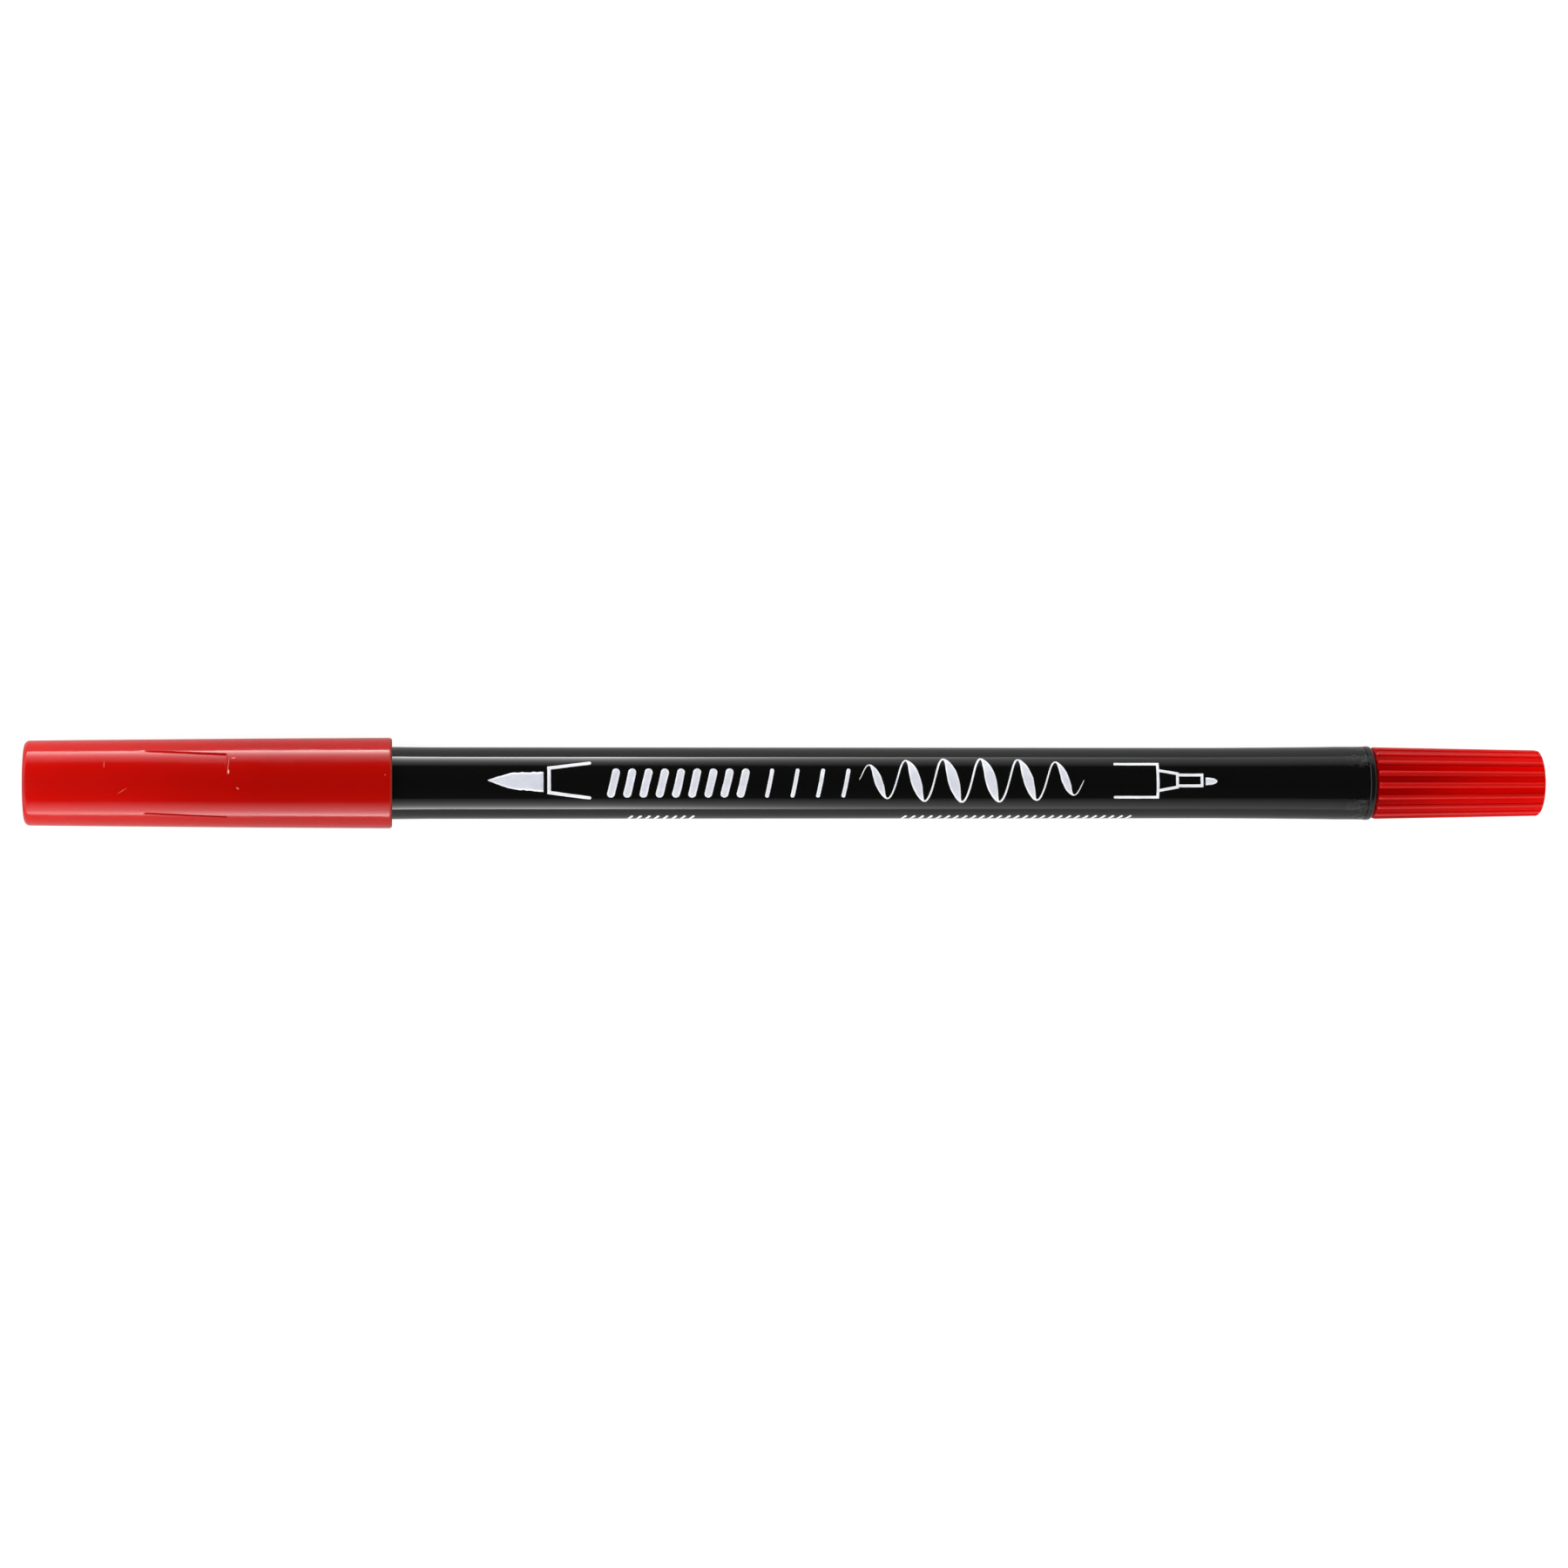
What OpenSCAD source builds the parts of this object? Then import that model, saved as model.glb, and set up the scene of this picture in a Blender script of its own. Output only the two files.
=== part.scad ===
// Twin-tip calligraphy marker: brush nib at the -X end, fine bullet nib at the +X end.
// The marker lies along X with its middle at the origin. Millimetres and degrees.

/* [Overall] */
// Length of the long cap over the brush nib
brush_cap_l = 39.15; // [38.6:0.05:40]
// Length of barrel that shows between the long cap and the flange
barrel_shown_l = 106.4; // [90:0.1:120]
// Length of the short ribbed cap over the fine nib
fine_cap_l = 19.1; // [18.9:0.05:20]
// Gap between the flange and the mouth of the ribbed cap
cap_gap = 0.1; // [0.05:0.05:0.15]

/* [Barrel] */
// Diameter of the straight stretch of the barrel
barrel_d = 7.75; // [7.7:0.01:7.8]
// Diameter of the barrel where the brush section is pressed in
brush_flare_d = 7.83; // [7.8:0.01:7.86]
// Diameter of the barrel where the fine section is pressed in
fine_flare_d = 8.04; // [7.9:0.01:8.06]
// Diameter of the bore, which both sections are pressed into
bore_d = 6.35; // [6.3:0.01:6.4]
// Length of barrel hidden inside the long cap
barrel_hidden_l = 6.9; // [6.5:0.1:7.2]
// Number of ribs that hold the reservoir off the bore
bore_rib_count = 6; // [4:1:8]
// Width of each of those ribs
bore_rib_w = 0.5; // [0.4:0.05:0.7]

/* [Long cap] */
// Outer diameter at the mouth
brush_mouth_d = 9.77; // [9.7:0.01:9.85]
// Outer diameter where the draft changes, above the grip notches
brush_waist_d = 9.6; // [9.58:0.01:9.65]
// Outer diameter at the closed end
brush_end_d = 9.12; // [9.05:0.01:9.2]
// Diameter of the bore that slides over the barrel
brush_bore_d = 8; // [7.98:0.01:8.02]
// Thickness of the closed end
cap_end_t = 1.5; // [1.2:0.1:1.6]
// Rounding of the closed end's edge
brush_end_round = 0.6; // [0.4:0.05:0.7]
// Rounding of the mouth's edge
brush_mouth_round = 0.3; // [0.2:0.05:0.35]
// Diameter of the dimple that the moulding gate leaves in the closed end
gate_d = 1.4; // [1:0.1:1.8]
// Depth of that dimple
gate_depth = 0.12; // [0.08:0.02:0.2]

/* [Grip notches] */
// Number of ramped notches round the long cap
notch_count = 4; // [2:1:6]
// Distance of the notches' end wall from the closed end of the cap
notch_wall_from_end = 21.6; // [20:0.1:22]
// Length of a notch, from its run-out to its end wall
notch_l = 8.8; // [8:0.1:9.5]
// Diameter of the round floor, which is the cap's own diameter at the run-out
notch_floor_d = 9.36; // [9.35:0.01:9.38]
// Tilt that sinks the floor under the cap's surface towards the end wall
notch_tilt = 1.2; // [0.9:0.1:1.3]
// Direction that the floor is tilted to, from straight up towards +Y
notch_tilt_to = -50; // [-55:1:-45]
// Direction of the side wall at the end wall, from straight up towards +Y
notch_side_at = 38.6; // [37:0.1:40]
// Slant of the side wall against the axis
notch_slant = 3.5; // [3:0.1:4]
// Draft of the side wall, which leans away from the notch
notch_draft = 24; // [10:1:30]

/* [Ribbed cap] */
// Diameter over the ribs at the mouth
fine_mouth_d = 7.93; // [7.9:0.01:7.96]
// Diameter over the ribs at the closed end
fine_end_d = 7.26; // [7.2:0.01:7.3]
// Number of ribs
rib_count = 18; // [16:1:20]
// Height of the ribs above the wall between them
rib_h = 0.17; // [0.12:0.01:0.19]
// Radius of a rib's round back, at the mouth and at the closed end
rib_r = [0.38, 0.3]; // [0.26:0.01:0.4]
// Plain rim between the mouth and the ribs' round starts
rib_start = 0.15; // [0.1:0.05:0.3]
// Height of the domed end
dome_h = 0.25; // [0.2:0.05:0.35]

/* [Brush end] */
// Length of brush nib that shows past the section
brush_nib_l = 12; // [11:0.1:12.2]
// Diameter of the brush nib where it leaves the section
brush_nib_d = 4.3; // [4.2:0.05:4.4]
// Diameter of the nib's tail inside the section and the reservoir
brush_tail_d = 3.2; // [3:0.1:3.4]
// Diameter of the nose at its flange
nose_root_d = 6.5; // [6.45:0.01:6.52]
// Diameter of the nose at its tip
nose_tip_d = 5.9; // [5.8:0.05:5.95]
// Length of the nose in front of the flange
nose_l = 11.7; // [11.5:0.1:11.8]

/* [Fine end] */
// Length of fine nib that shows past its holder
fine_nib_l = 2.8; // [2.6:0.1:2.9]
// Diameter of the fine nib
fine_nib_d = 1.6; // [1.5:0.05:1.7]
// Length of the nib holder's tube
holder_l = 5.4; // [5.2:0.1:5.5]
// Diameter of the nib holder's tube
holder_d = 2.4; // [2.3:0.05:2.5]
// Length of the neck that the ribbed cap slides on
neck_l = 4.75; // [4.6:0.05:4.8]
// Diameter of the bead at the neck's seal
neck_bead_d = 6.12; // [6.1:0.01:6.13]
// Diameter over the rounded flange
flange_d = 8.1; // [8.06:0.01:8.12]
// Thickness of the flange
flange_t = 0.75; // [0.7:0.05:0.8]

/* [Plugs] */
// Number of raised rings that grip the bore on each plug
grip_ring_count = 3; // [2:1:4]
// Depth of the relief between those rings
grip_relief = 0.08; // [0.05:0.01:0.12]
// Number of breather grooves along the brush nib's seat
breather_count = 4; // [3:1:6]
// Width and depth of a breather groove
breather_w = 0.5; // [0.4:0.05:0.6]

/* [Reservoir] */
// Diameter over the reservoir's film
film_d = 5.9; // [5.8:0.05:5.95]
// Thickness of the film
film_t = 0.1; // [0.08:0.01:0.15]
// Depth that the nibs' tails reach into the reservoir
tail_depth = 5; // [4:0.5:7]

/* [Hidden] */
$fn = 32;

// Stations along X
brush_end_x = -(brush_cap_l + barrel_shown_l + flange_t + cap_gap + fine_cap_l) / 2;
brush_mouth_x = brush_end_x + brush_cap_l;
seam_x = brush_mouth_x + barrel_shown_l;
neck_x = seam_x + flange_t;
fine_mouth_x = neck_x + cap_gap;
fine_end_x = -brush_end_x;
barrel_start_x = brush_mouth_x - barrel_hidden_l;
straight_x = [brush_mouth_x + 5.5, seam_x - 18.5];
notch_wall_x = brush_end_x + notch_wall_from_end;

// Brush section and nib
plug_l = 9;
plug_lead = 0.6;
brush_flange_t = 0.8;
nose_x = barrel_start_x - brush_flange_t;
nose_tip_x = nose_x - nose_l;
nose_lip = 0.7;
brush_tip_x = nose_tip_x - brush_nib_l;
nib_seat_l = 4;
nib_tip_r = 0.25;
brush_shoulder = 0.52;

// Fine section, holder and nib
cone_l = 3.7;
cone_x = neck_x + neck_l;
holder_x = cone_x + cone_l;
holder_end_x = holder_x + holder_l;
fine_tip_x = holder_end_x + fine_nib_l;
neck_d = neck_bead_d - 0.2;
holder_seat_l = 4;
holder_seat_d = 3.2;

// Reservoir
reservoir_x = [barrel_start_x + plug_l, seam_x - plug_l];
bore_rib_x = [reservoir_x[0] + 1, reservoir_x[1] - 1];

// Caps
running = 0.05;
liner_wall = 0.5;
liner_x = nose_x - 0.1;
liner_end_x = brush_end_x + cap_end_t + 0.7;
brush_step_x = liner_x + 0.4;
seat_d = [7.7, 7.24];
seat_span = [brush_step_x - 0.3, brush_end_x + cap_end_t + 0.4];
fine_bore_d = neck_bead_d + 2 * running;
fine_well_x = cone_x + 0.2;
fine_well_d = [5.3, 4.9];
fine_well_end_x = fine_end_x - 1.15;
fine_liner_x = [fine_well_x + 0.1, fine_well_end_x - 0.05];
fine_liner_wall = 0.45;

// Points of an arc round [radius, station], from angle a to angle b
function arc(centre, r, a, b, steps = 6) =
    [for (i = [0 : steps]) centre + r * [cos(a + (b - a) * i / steps), sin(a + (b - a) * i / steps)]];

// Radius of the brush nib at a share of its shown length: a slow taper up to its shoulder,
// then an ogive down to the round tip
function brush_r(share) =
    let (base = brush_nib_d / 2, shoulder = base * 0.88)
    share < brush_shoulder
        ? base - (base - shoulder) * pow(share / brush_shoulder, 2)
        : nib_tip_r + (shoulder - nib_tip_r)
            * (1 - pow((share - brush_shoulder) / (1 - brush_shoulder), 1.35));

// Radius of the tapered seat that the long cap's liner is pressed into, at a station
function seat_r(x) =
    (seat_d[0] + (seat_d[1] - seat_d[0]) * (x - seat_span[0]) / (seat_span[1] - seat_span[0])) / 2;

// Side of a pressed plug from one station to the next: grip rings with a relief between them
function plug_side(from, to) =
    let (pitch = (to - from) / grip_ring_count, r = bore_d / 2)
    [for (i = [0 : grip_ring_count - 1])
        each [
            [r, from + pitch * i],
            [r, from + pitch * (i + 0.4)],
            [r - grip_relief, from + pitch * (i + 0.4) + grip_relief],
            [r - grip_relief, from + pitch * (i + 1) - grip_relief]
        ]];

// Turns a profile of [radius, station] points about the X axis
module turned(profile) {
    rotate([0, 90, 0])
        rotate_extrude()
            polygon(profile);
}

// Round tube wall between two stations, as a cone when its radii differ
module ring(x, outer, inner) {
    turned([[inner[0] / 2, x[0]], [outer[0] / 2, x[0]], [outer[1] / 2, x[1]], [inner[1] / 2, x[1]]]);
}

// Rod along X between two stations
module rod(x, d) {
    translate([x[0], 0, 0])
        rotate([0, 90, 0])
            cylinder(d = d, h = x[1] - x[0]);
}

// Tube, pushed out a little where the sections are pressed in, with ribs in the bore
module barrel() {
    color("#141414") {
        turned([
            [bore_d / 2, barrel_start_x],
            [brush_flare_d / 2 - 0.1, barrel_start_x],
            [brush_flare_d / 2, barrel_start_x + 0.15],
            [brush_flare_d / 2, brush_mouth_x],
            [barrel_d / 2, straight_x[0]],
            [barrel_d / 2, straight_x[1]],
            [barrel_d / 2 + 0.06, seam_x - 9],
            [fine_flare_d / 2 - 0.01, seam_x - 3],
            [fine_flare_d / 2, seam_x - 0.12],
            [fine_flare_d / 2 - 0.1, seam_x],
            [bore_d / 2, seam_x]
        ]);
        difference() {
            for (i = [0 : bore_rib_count - 1])
                rotate([360 * i / bore_rib_count, 0, 0])
                    translate([bore_rib_x[0], -bore_rib_w / 2, 0])
                        cube([bore_rib_x[1] - bore_rib_x[0], bore_rib_w, bore_d / 2 + 0.1]);
            rod([bore_rib_x[0] - 1, bore_rib_x[1] + 1], film_d);
        }
    }
}

// Moulded nose that holds the brush nib, with a plug, a flange and a seal bead for the liner
module brush_section() {
    color("#1a1a1a")
        difference() {
            turned(concat(
                [[0, nose_tip_x], [nose_tip_d / 2 - nose_lip, nose_tip_x]],
                arc([nose_tip_d / 2 - nose_lip, nose_tip_x + nose_lip], nose_lip, -90, 0),
                [
                    [nose_root_d / 2 - 0.08, nose_x - 3.4],
                    [nose_root_d / 2, nose_x - 3],
                    [nose_root_d / 2, nose_x - 2.4],
                    [nose_root_d / 2 - 0.08, nose_x - 2],
                    [nose_root_d / 2 - 0.08, nose_x],
                    [brush_flare_d / 2 - 0.15, nose_x],
                    [brush_flare_d / 2 - 0.02, nose_x + 0.15],
                    [brush_flare_d / 2 - 0.02, barrel_start_x - 0.15],
                    [brush_flare_d / 2 - 0.12, barrel_start_x]
                ],
                plug_side(barrel_start_x, reservoir_x[0] - plug_lead),
                [
                    [bore_d / 2 - 0.25, reservoir_x[0]],
                    [0, reservoir_x[0]]
                ]));
            rod([nose_tip_x - 1, reservoir_x[0] + 1], brush_tail_d);
            rod([nose_tip_x - 1, nose_tip_x + nib_seat_l], brush_nib_d);
            for (i = [0 : breather_count - 1])
                rotate([360 * (i + 0.5) / breather_count, 0, 0])
                    translate([nose_tip_x - 1, -breather_w / 2, 0])
                        cube([nib_seat_l + 2, breather_w, brush_nib_d / 2 + breather_w / 2]);
        }
}

// Brush nib of bonded fibre: pointed brush, collar seated in the nose, and tail into the reservoir
module brush_nib() {
    shape_steps = 16;
    color("#7a1410")
        turned(concat(
            [[0, brush_tip_x]],
            arc([0, brush_tip_x + nib_tip_r], nib_tip_r, -60, 0, 3),
            [for (i = [1 : shape_steps])
                let (share = 1 - i / shape_steps)
                [brush_r(share), nose_tip_x - brush_nib_l * share]],
            [
                [brush_nib_d / 2, nose_tip_x + nib_seat_l],
                [brush_tail_d / 2, nose_tip_x + nib_seat_l],
                [brush_tail_d / 2, reservoir_x[0] + tail_depth - 0.5],
                [brush_tail_d / 2 - 0.5, reservoir_x[0] + tail_depth],
                [0, reservoir_x[0] + tail_depth]
            ]));
}

// Moulded neck of the fine end: plug, rounded flange, neck with seal bead, and cone
module fine_section() {
    flange_round = 0.3;
    color("#1a1a1a")
        difference() {
            turned(concat(
                [[0, reservoir_x[1]], [bore_d / 2 - 0.25, reservoir_x[1]]],
                plug_side(reservoir_x[1] + plug_lead, seam_x),
                [
                    [bore_d / 2 - grip_relief, seam_x],
                    [flange_d / 2 - 0.12, seam_x],
                    [flange_d / 2, seam_x + 0.12]
                ],
                arc([flange_d / 2 - flange_round, neck_x - flange_round], flange_round, 0, 90),
                [
                    [neck_d / 2, neck_x],
                    [neck_d / 2, neck_x + 1.6],
                    [neck_bead_d / 2, neck_x + 1.9],
                    [neck_bead_d / 2, neck_x + 2.5],
                    [neck_d / 2, neck_x + 2.8],
                    [neck_d / 2, cone_x - 0.4],
                    [neck_d / 2 - 0.3, cone_x],
                    [2.2, cone_x],
                    [1.75, holder_x - 0.3],
                    [1.45, holder_x],
                    [0, holder_x]
                ]));
            rod([reservoir_x[1] - 1, holder_x + 1], fine_nib_d);
            rod([holder_x - holder_seat_l - 0.5, holder_x + 1], holder_d);
            rod([holder_x - holder_seat_l, holder_x - holder_seat_l + 1], holder_seat_d);
        }
}

// Tube that carries the fine nib, locked in the cone by its collar
module fine_nib_holder() {
    seat_x = holder_x - holder_seat_l;
    color("#202020")
        difference() {
            turned([
                [0, seat_x - 0.5],
                [holder_d / 2, seat_x - 0.5],
                [holder_d / 2, seat_x],
                [holder_seat_d / 2, seat_x],
                [holder_seat_d / 2, seat_x + 1],
                [holder_d / 2, seat_x + 1],
                [holder_d / 2, holder_x + 0.4],
                [holder_d / 2 - 0.1, holder_x + 0.5],
                [holder_d / 2 - 0.1, holder_end_x - 0.4],
                [holder_d / 2 - 0.25, holder_end_x],
                [0, holder_end_x]
            ]);
            rod([seat_x - 1, holder_end_x + 1], fine_nib_d);
        }
}

// Fine nib: round fibre rod with a bullet tip, reaching back into the reservoir
module fine_nib() {
    bullet_l = 1.9;
    tip_steps = 8;
    color("#8a1a14")
        turned(concat(
            [
                [0, reservoir_x[1] - tail_depth],
                [fine_nib_d / 2 - 0.3, reservoir_x[1] - tail_depth],
                [fine_nib_d / 2, reservoir_x[1] - tail_depth + 0.4]
            ],
            [for (i = [0 : tip_steps])
                let (a = 90 * i / tip_steps)
                [fine_nib_d / 2 * cos(a), fine_tip_x - bullet_l + bullet_l * sin(a)]]));
}

// Bonded-fibre rod that holds the ink, pierced at both ends by the nibs' tails
module ink_reservoir() {
    color("#a8281e")
        difference() {
            rod(reservoir_x, film_d - 2 * film_t);
            rod([reservoir_x[0] - 1, reservoir_x[0] + tail_depth], brush_tail_d);
            rod([reservoir_x[1] - tail_depth, reservoir_x[1] + 1], fine_nib_d);
        }
}

// Thin film rolled round the reservoir
module reservoir_film() {
    inner_d = film_d - 2 * film_t;
    color("#d8d8d0")
        ring(reservoir_x, [film_d, film_d], [inner_d, inner_d]);
}

// Cutter of one ramped notch: what lies outside a round floor that tilts down towards the end
// wall, within a drafted and slanted side wall and a square end wall
module notch_cutter() {
    start_clear = 0.4;
    cutter = [notch_l - start_clear, 5, 6];
    under = 4;
    spare = 2;
    difference() {
        rotate([-notch_side_at, 0, 0])
            translate([notch_wall_x, 0, notch_floor_d / 2 + 0.1])
                rotate([-notch_draft, 0, -notch_slant])
                    translate([-cutter[0], -cutter[1], -under])
                        cube(cutter);
        translate([notch_wall_x - notch_l, 0, 0])
            rotate([-notch_tilt_to, 0, 0])
                rotate([0, -notch_tilt, 0])
                    rod([-spare, notch_l + spare], notch_floor_d);
    }
}

// Long cap: drafted shell with a round-edged closed end, grip notches and a stepped bore
module brush_cap() {
    lead_in = 0.2;
    waist_x = notch_wall_x + 3.5;
    color("#c4120c")
        difference() {
            turned(concat(
                [
                    [0, brush_end_x + gate_depth],
                    [gate_d / 2 - gate_depth, brush_end_x + gate_depth],
                    [gate_d / 2, brush_end_x]
                ],
                arc([brush_end_d / 2 - brush_end_round, brush_end_x + brush_end_round],
                    brush_end_round, -90, 0),
                [[brush_waist_d / 2, waist_x]],
                arc([brush_mouth_d / 2 - brush_mouth_round, brush_mouth_x - brush_mouth_round],
                    brush_mouth_round, 0, 90),
                [[0, brush_mouth_x]]));
            turned([
                [0, brush_end_x + cap_end_t],
                [seat_d[1] / 2 - 0.4, brush_end_x + cap_end_t],
                [seat_d[1] / 2, seat_span[1]],
                [seat_d[0] / 2, seat_span[0]],
                [brush_bore_d / 2, brush_step_x],
                [brush_bore_d / 2, brush_mouth_x - lead_in],
                [brush_bore_d / 2 + lead_in, brush_mouth_x],
                [brush_bore_d / 2 + lead_in, brush_mouth_x + 1],
                [0, brush_mouth_x + 1]
            ]);
            for (i = [0 : notch_count - 1])
                rotate([360 * i / notch_count, 0, 0])
                    notch_cutter();
        }
}

// Inner cap pressed into the long cap, which closes on the nose's seal bead
module brush_cap_liner() {
    inner = [seat_d[0] / 2 - liner_wall, seat_d[1] / 2 - liner_wall];
    color("#d9c79a")
        turned([
            [0, liner_end_x],
            [seat_r(liner_end_x) - 0.3, liner_end_x],
            [seat_r(liner_end_x + 0.3), liner_end_x + 0.3],
            [seat_r(brush_step_x - 0.4), brush_step_x - 0.4],
            [seat_d[0] / 2 - 0.1, liner_x],
            [inner[0] + 0.1, liner_x],
            [inner[0], liner_x - 0.25],
            [inner[1], liner_end_x + 0.9],
            [inner[1] - 0.3, liner_end_x + 0.6],
            [0, liner_end_x + 0.6]
        ]);
}

// One rib of the short cap: a slowly narrowing bar laid along the tapered wall, with a round start
module cap_rib(tilt) {
    translate([fine_mouth_x + rib_start + rib_r[0], 0, fine_mouth_d / 2 - rib_r[0]])
        rotate([0, tilt, 0]) {
            sphere(r = rib_r[0], $fn = 16);
            rotate([0, 90, 0])
                cylinder(r1 = rib_r[0], r2 = rib_r[1], h = fine_cap_l, $fn = 16);
        }
}

// Short cap: tapered wall with round ribs that run out into the domed end, and a stepped bore
module fine_cap() {
    edge = 0.45;
    lead_in = 0.15;
    end_r = fine_end_d / 2;
    tilt = atan(((fine_mouth_d - fine_end_d) / 2 - (rib_r[0] - rib_r[1])) / fine_cap_l);
    wall_r = [fine_mouth_d / 2 - rib_h, fine_end_d / 2 - rib_h];
    dome_r = (pow(end_r - edge, 2) + pow(dome_h, 2)) / 2 / dome_h;
    dome_half = asin((end_r - edge) / dome_r);
    color("#c4120c")
        difference() {
            intersection() {
                union() {
                    turned([
                        [0, fine_mouth_x],
                        [wall_r[0] - 0.1, fine_mouth_x],
                        [wall_r[0], fine_mouth_x + 0.1],
                        [wall_r[1], fine_end_x],
                        [0, fine_end_x]
                    ]);
                    for (i = [0 : rib_count - 1])
                        rotate([360 * i / rib_count, 0, 0])
                            cap_rib(tilt);
                }
                turned(concat(
                    [[0, fine_mouth_x - 1], [end_r + 1, fine_mouth_x - 1]],
                    [[end_r + 1, fine_end_x - dome_h - edge - 0.5]],
                    arc([end_r - edge, fine_end_x - dome_h - edge], edge + 0.02, 15, 80),
                    arc([0, fine_end_x - dome_r], dome_r, 90 - dome_half, 90)));
            }
            turned([
                [0, fine_mouth_x - 1],
                [fine_bore_d / 2 + lead_in, fine_mouth_x - 1],
                [fine_bore_d / 2 + lead_in, fine_mouth_x],
                [fine_bore_d / 2, fine_mouth_x + lead_in],
                [fine_bore_d / 2, fine_well_x - 0.3],
                [fine_well_d[0] / 2, fine_well_x],
                [fine_well_d[1] / 2, fine_well_end_x],
                [0, fine_well_end_x]
            ]);
        }
}

// Inner cap pressed into the short cap, which closes round the cone and the nib holder
module fine_cap_liner() {
    taper = (fine_well_d[0] - fine_well_d[1]) / (fine_well_end_x - fine_well_x);
    outer = [for (x = fine_liner_x) fine_well_d[0] / 2 - taper / 2 * (x - fine_well_x)];
    color("#d9c79a")
        turned([
            [outer[0] - fine_liner_wall, fine_liner_x[0]],
            [outer[0], fine_liner_x[0]],
            [outer[1], fine_liner_x[1]],
            [0, fine_liner_x[1]],
            [0, fine_liner_x[1] - fine_liner_wall],
            [outer[1] - fine_liner_wall - 0.3, fine_liner_x[1] - fine_liner_wall],
            [outer[1] - fine_liner_wall - 0.3, holder_end_x],
            [outer[0] - fine_liner_wall, holder_x]
        ]);
}

barrel();
brush_section();
brush_nib();
fine_section();
fine_nib_holder();
fine_nib();
ink_reservoir();
reservoir_film();
brush_cap();
brush_cap_liner();
fine_cap();
fine_cap_liner();
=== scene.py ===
"""Looks of a twin-tip calligraphy marker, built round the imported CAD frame.

The marker lies along X with its middle at the origin: the brush nib and its long cap are towards -X, the
fine nib and its short ribbed cap towards +X, and +Z is up to the camera. Blender's unit is the metre, and
sizes are named in millimetres and turned by MM. A place on the barrel's skin is (x, s): x along the
marker, and s the length of arc from the top line of the barrel towards +Y.
"""

from __future__ import annotations

import logging
import math
from dataclasses import dataclass, field, replace
from enum import Enum
from typing import Any, Mapping, Sequence

import bmesh
import bpy
import numpy as np
from bpy.types import NodeSocket, NodeTree
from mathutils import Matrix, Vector
from mathutils.bvhtree import BVHTree

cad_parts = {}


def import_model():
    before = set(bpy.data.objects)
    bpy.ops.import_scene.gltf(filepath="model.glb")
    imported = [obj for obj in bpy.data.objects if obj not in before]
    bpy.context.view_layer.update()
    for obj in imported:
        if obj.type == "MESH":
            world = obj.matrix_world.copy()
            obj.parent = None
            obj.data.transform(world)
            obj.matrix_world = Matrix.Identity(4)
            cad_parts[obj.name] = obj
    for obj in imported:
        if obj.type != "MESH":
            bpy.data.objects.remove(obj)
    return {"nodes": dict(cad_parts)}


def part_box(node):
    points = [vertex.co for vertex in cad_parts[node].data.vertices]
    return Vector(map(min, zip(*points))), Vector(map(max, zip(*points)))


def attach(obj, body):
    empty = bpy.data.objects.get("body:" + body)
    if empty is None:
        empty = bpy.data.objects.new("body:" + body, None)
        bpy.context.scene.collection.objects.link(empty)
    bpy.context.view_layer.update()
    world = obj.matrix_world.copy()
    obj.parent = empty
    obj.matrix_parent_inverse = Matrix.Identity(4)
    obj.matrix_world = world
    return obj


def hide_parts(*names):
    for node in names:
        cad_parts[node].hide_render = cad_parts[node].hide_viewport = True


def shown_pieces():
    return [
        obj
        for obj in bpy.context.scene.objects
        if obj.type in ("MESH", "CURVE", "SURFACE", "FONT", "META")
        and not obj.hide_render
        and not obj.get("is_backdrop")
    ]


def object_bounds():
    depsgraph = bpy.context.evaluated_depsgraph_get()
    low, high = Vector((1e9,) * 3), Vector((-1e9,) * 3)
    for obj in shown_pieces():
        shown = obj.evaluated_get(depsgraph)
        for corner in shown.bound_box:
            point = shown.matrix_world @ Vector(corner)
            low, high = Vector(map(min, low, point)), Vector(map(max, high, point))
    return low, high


LOG = logging.getLogger("marker")
MM = 0.001
IMAGE_LONG_SIDE = 1568
INK_EDGE = "mm_from_ink_edge"
# Most values of a noise lie between these, so a ramp over them has its full range
NOISE_MIDDLE = (0.3, 0.7)

# Places in the photograph's frame, scaled to a long side of 1568; None where only the other way counts
IMAGE_POINTS: dict[str, tuple[float | None, float | None]] = {
    "marker_left": (21.8, None),
    "marker_right": (1546.3, None),
    "marker_top": (None, 737.9),
    "marker_bottom": (None, 828.5),
    "long_cap_mouth": (392.1, 783.1),
    "barrel_seam": (1370.9, 783.2),
    "short_cap_mouth": (1379.0, 783.3),
    "notch_end": (228.2, 765.7),
    "print_brush_tip": (515.5, 781.6),
    "print_brush_nose": (569.4, 780.2),
    "print_fine_body": (1136.9, 780.4),
    "print_fine_nib": (1211.6, 781.3),
    "mark_near_end": (104.0, 764.6),
    "mark_scratch": (122.0, 791.0),
    "mark_past_notch": (237.6, 788.4),
    "mark_at_mouth": (385.1, 774.9),
    "mark_at_notch": (228.4, 771.8),
    "mark_at_corner": (233.4, 758.0),
}


class Body(str, Enum):
    """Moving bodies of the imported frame."""

    MARKER = "marker_body"
    LONG_CAP = "long_cap"
    SHORT_CAP = "short_cap"


class Slot(str, Enum):
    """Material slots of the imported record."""

    CAP = "red_cap"
    BRUSH = "inked_brush"


class Edge(Enum):
    """Which of its places in the image stands for a thing, one way."""

    LOW = "low"
    HIGH = "high"
    MIDDLE = "middle"

    def of(self, values: np.ndarray) -> float:
        """The lowest or the highest value, or the middle between them."""
        low, high = float(values.min()), float(values.max())
        return {Edge.LOW: low, Edge.HIGH: high, Edge.MIDDLE: (low + high) / 2}[self]


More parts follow.
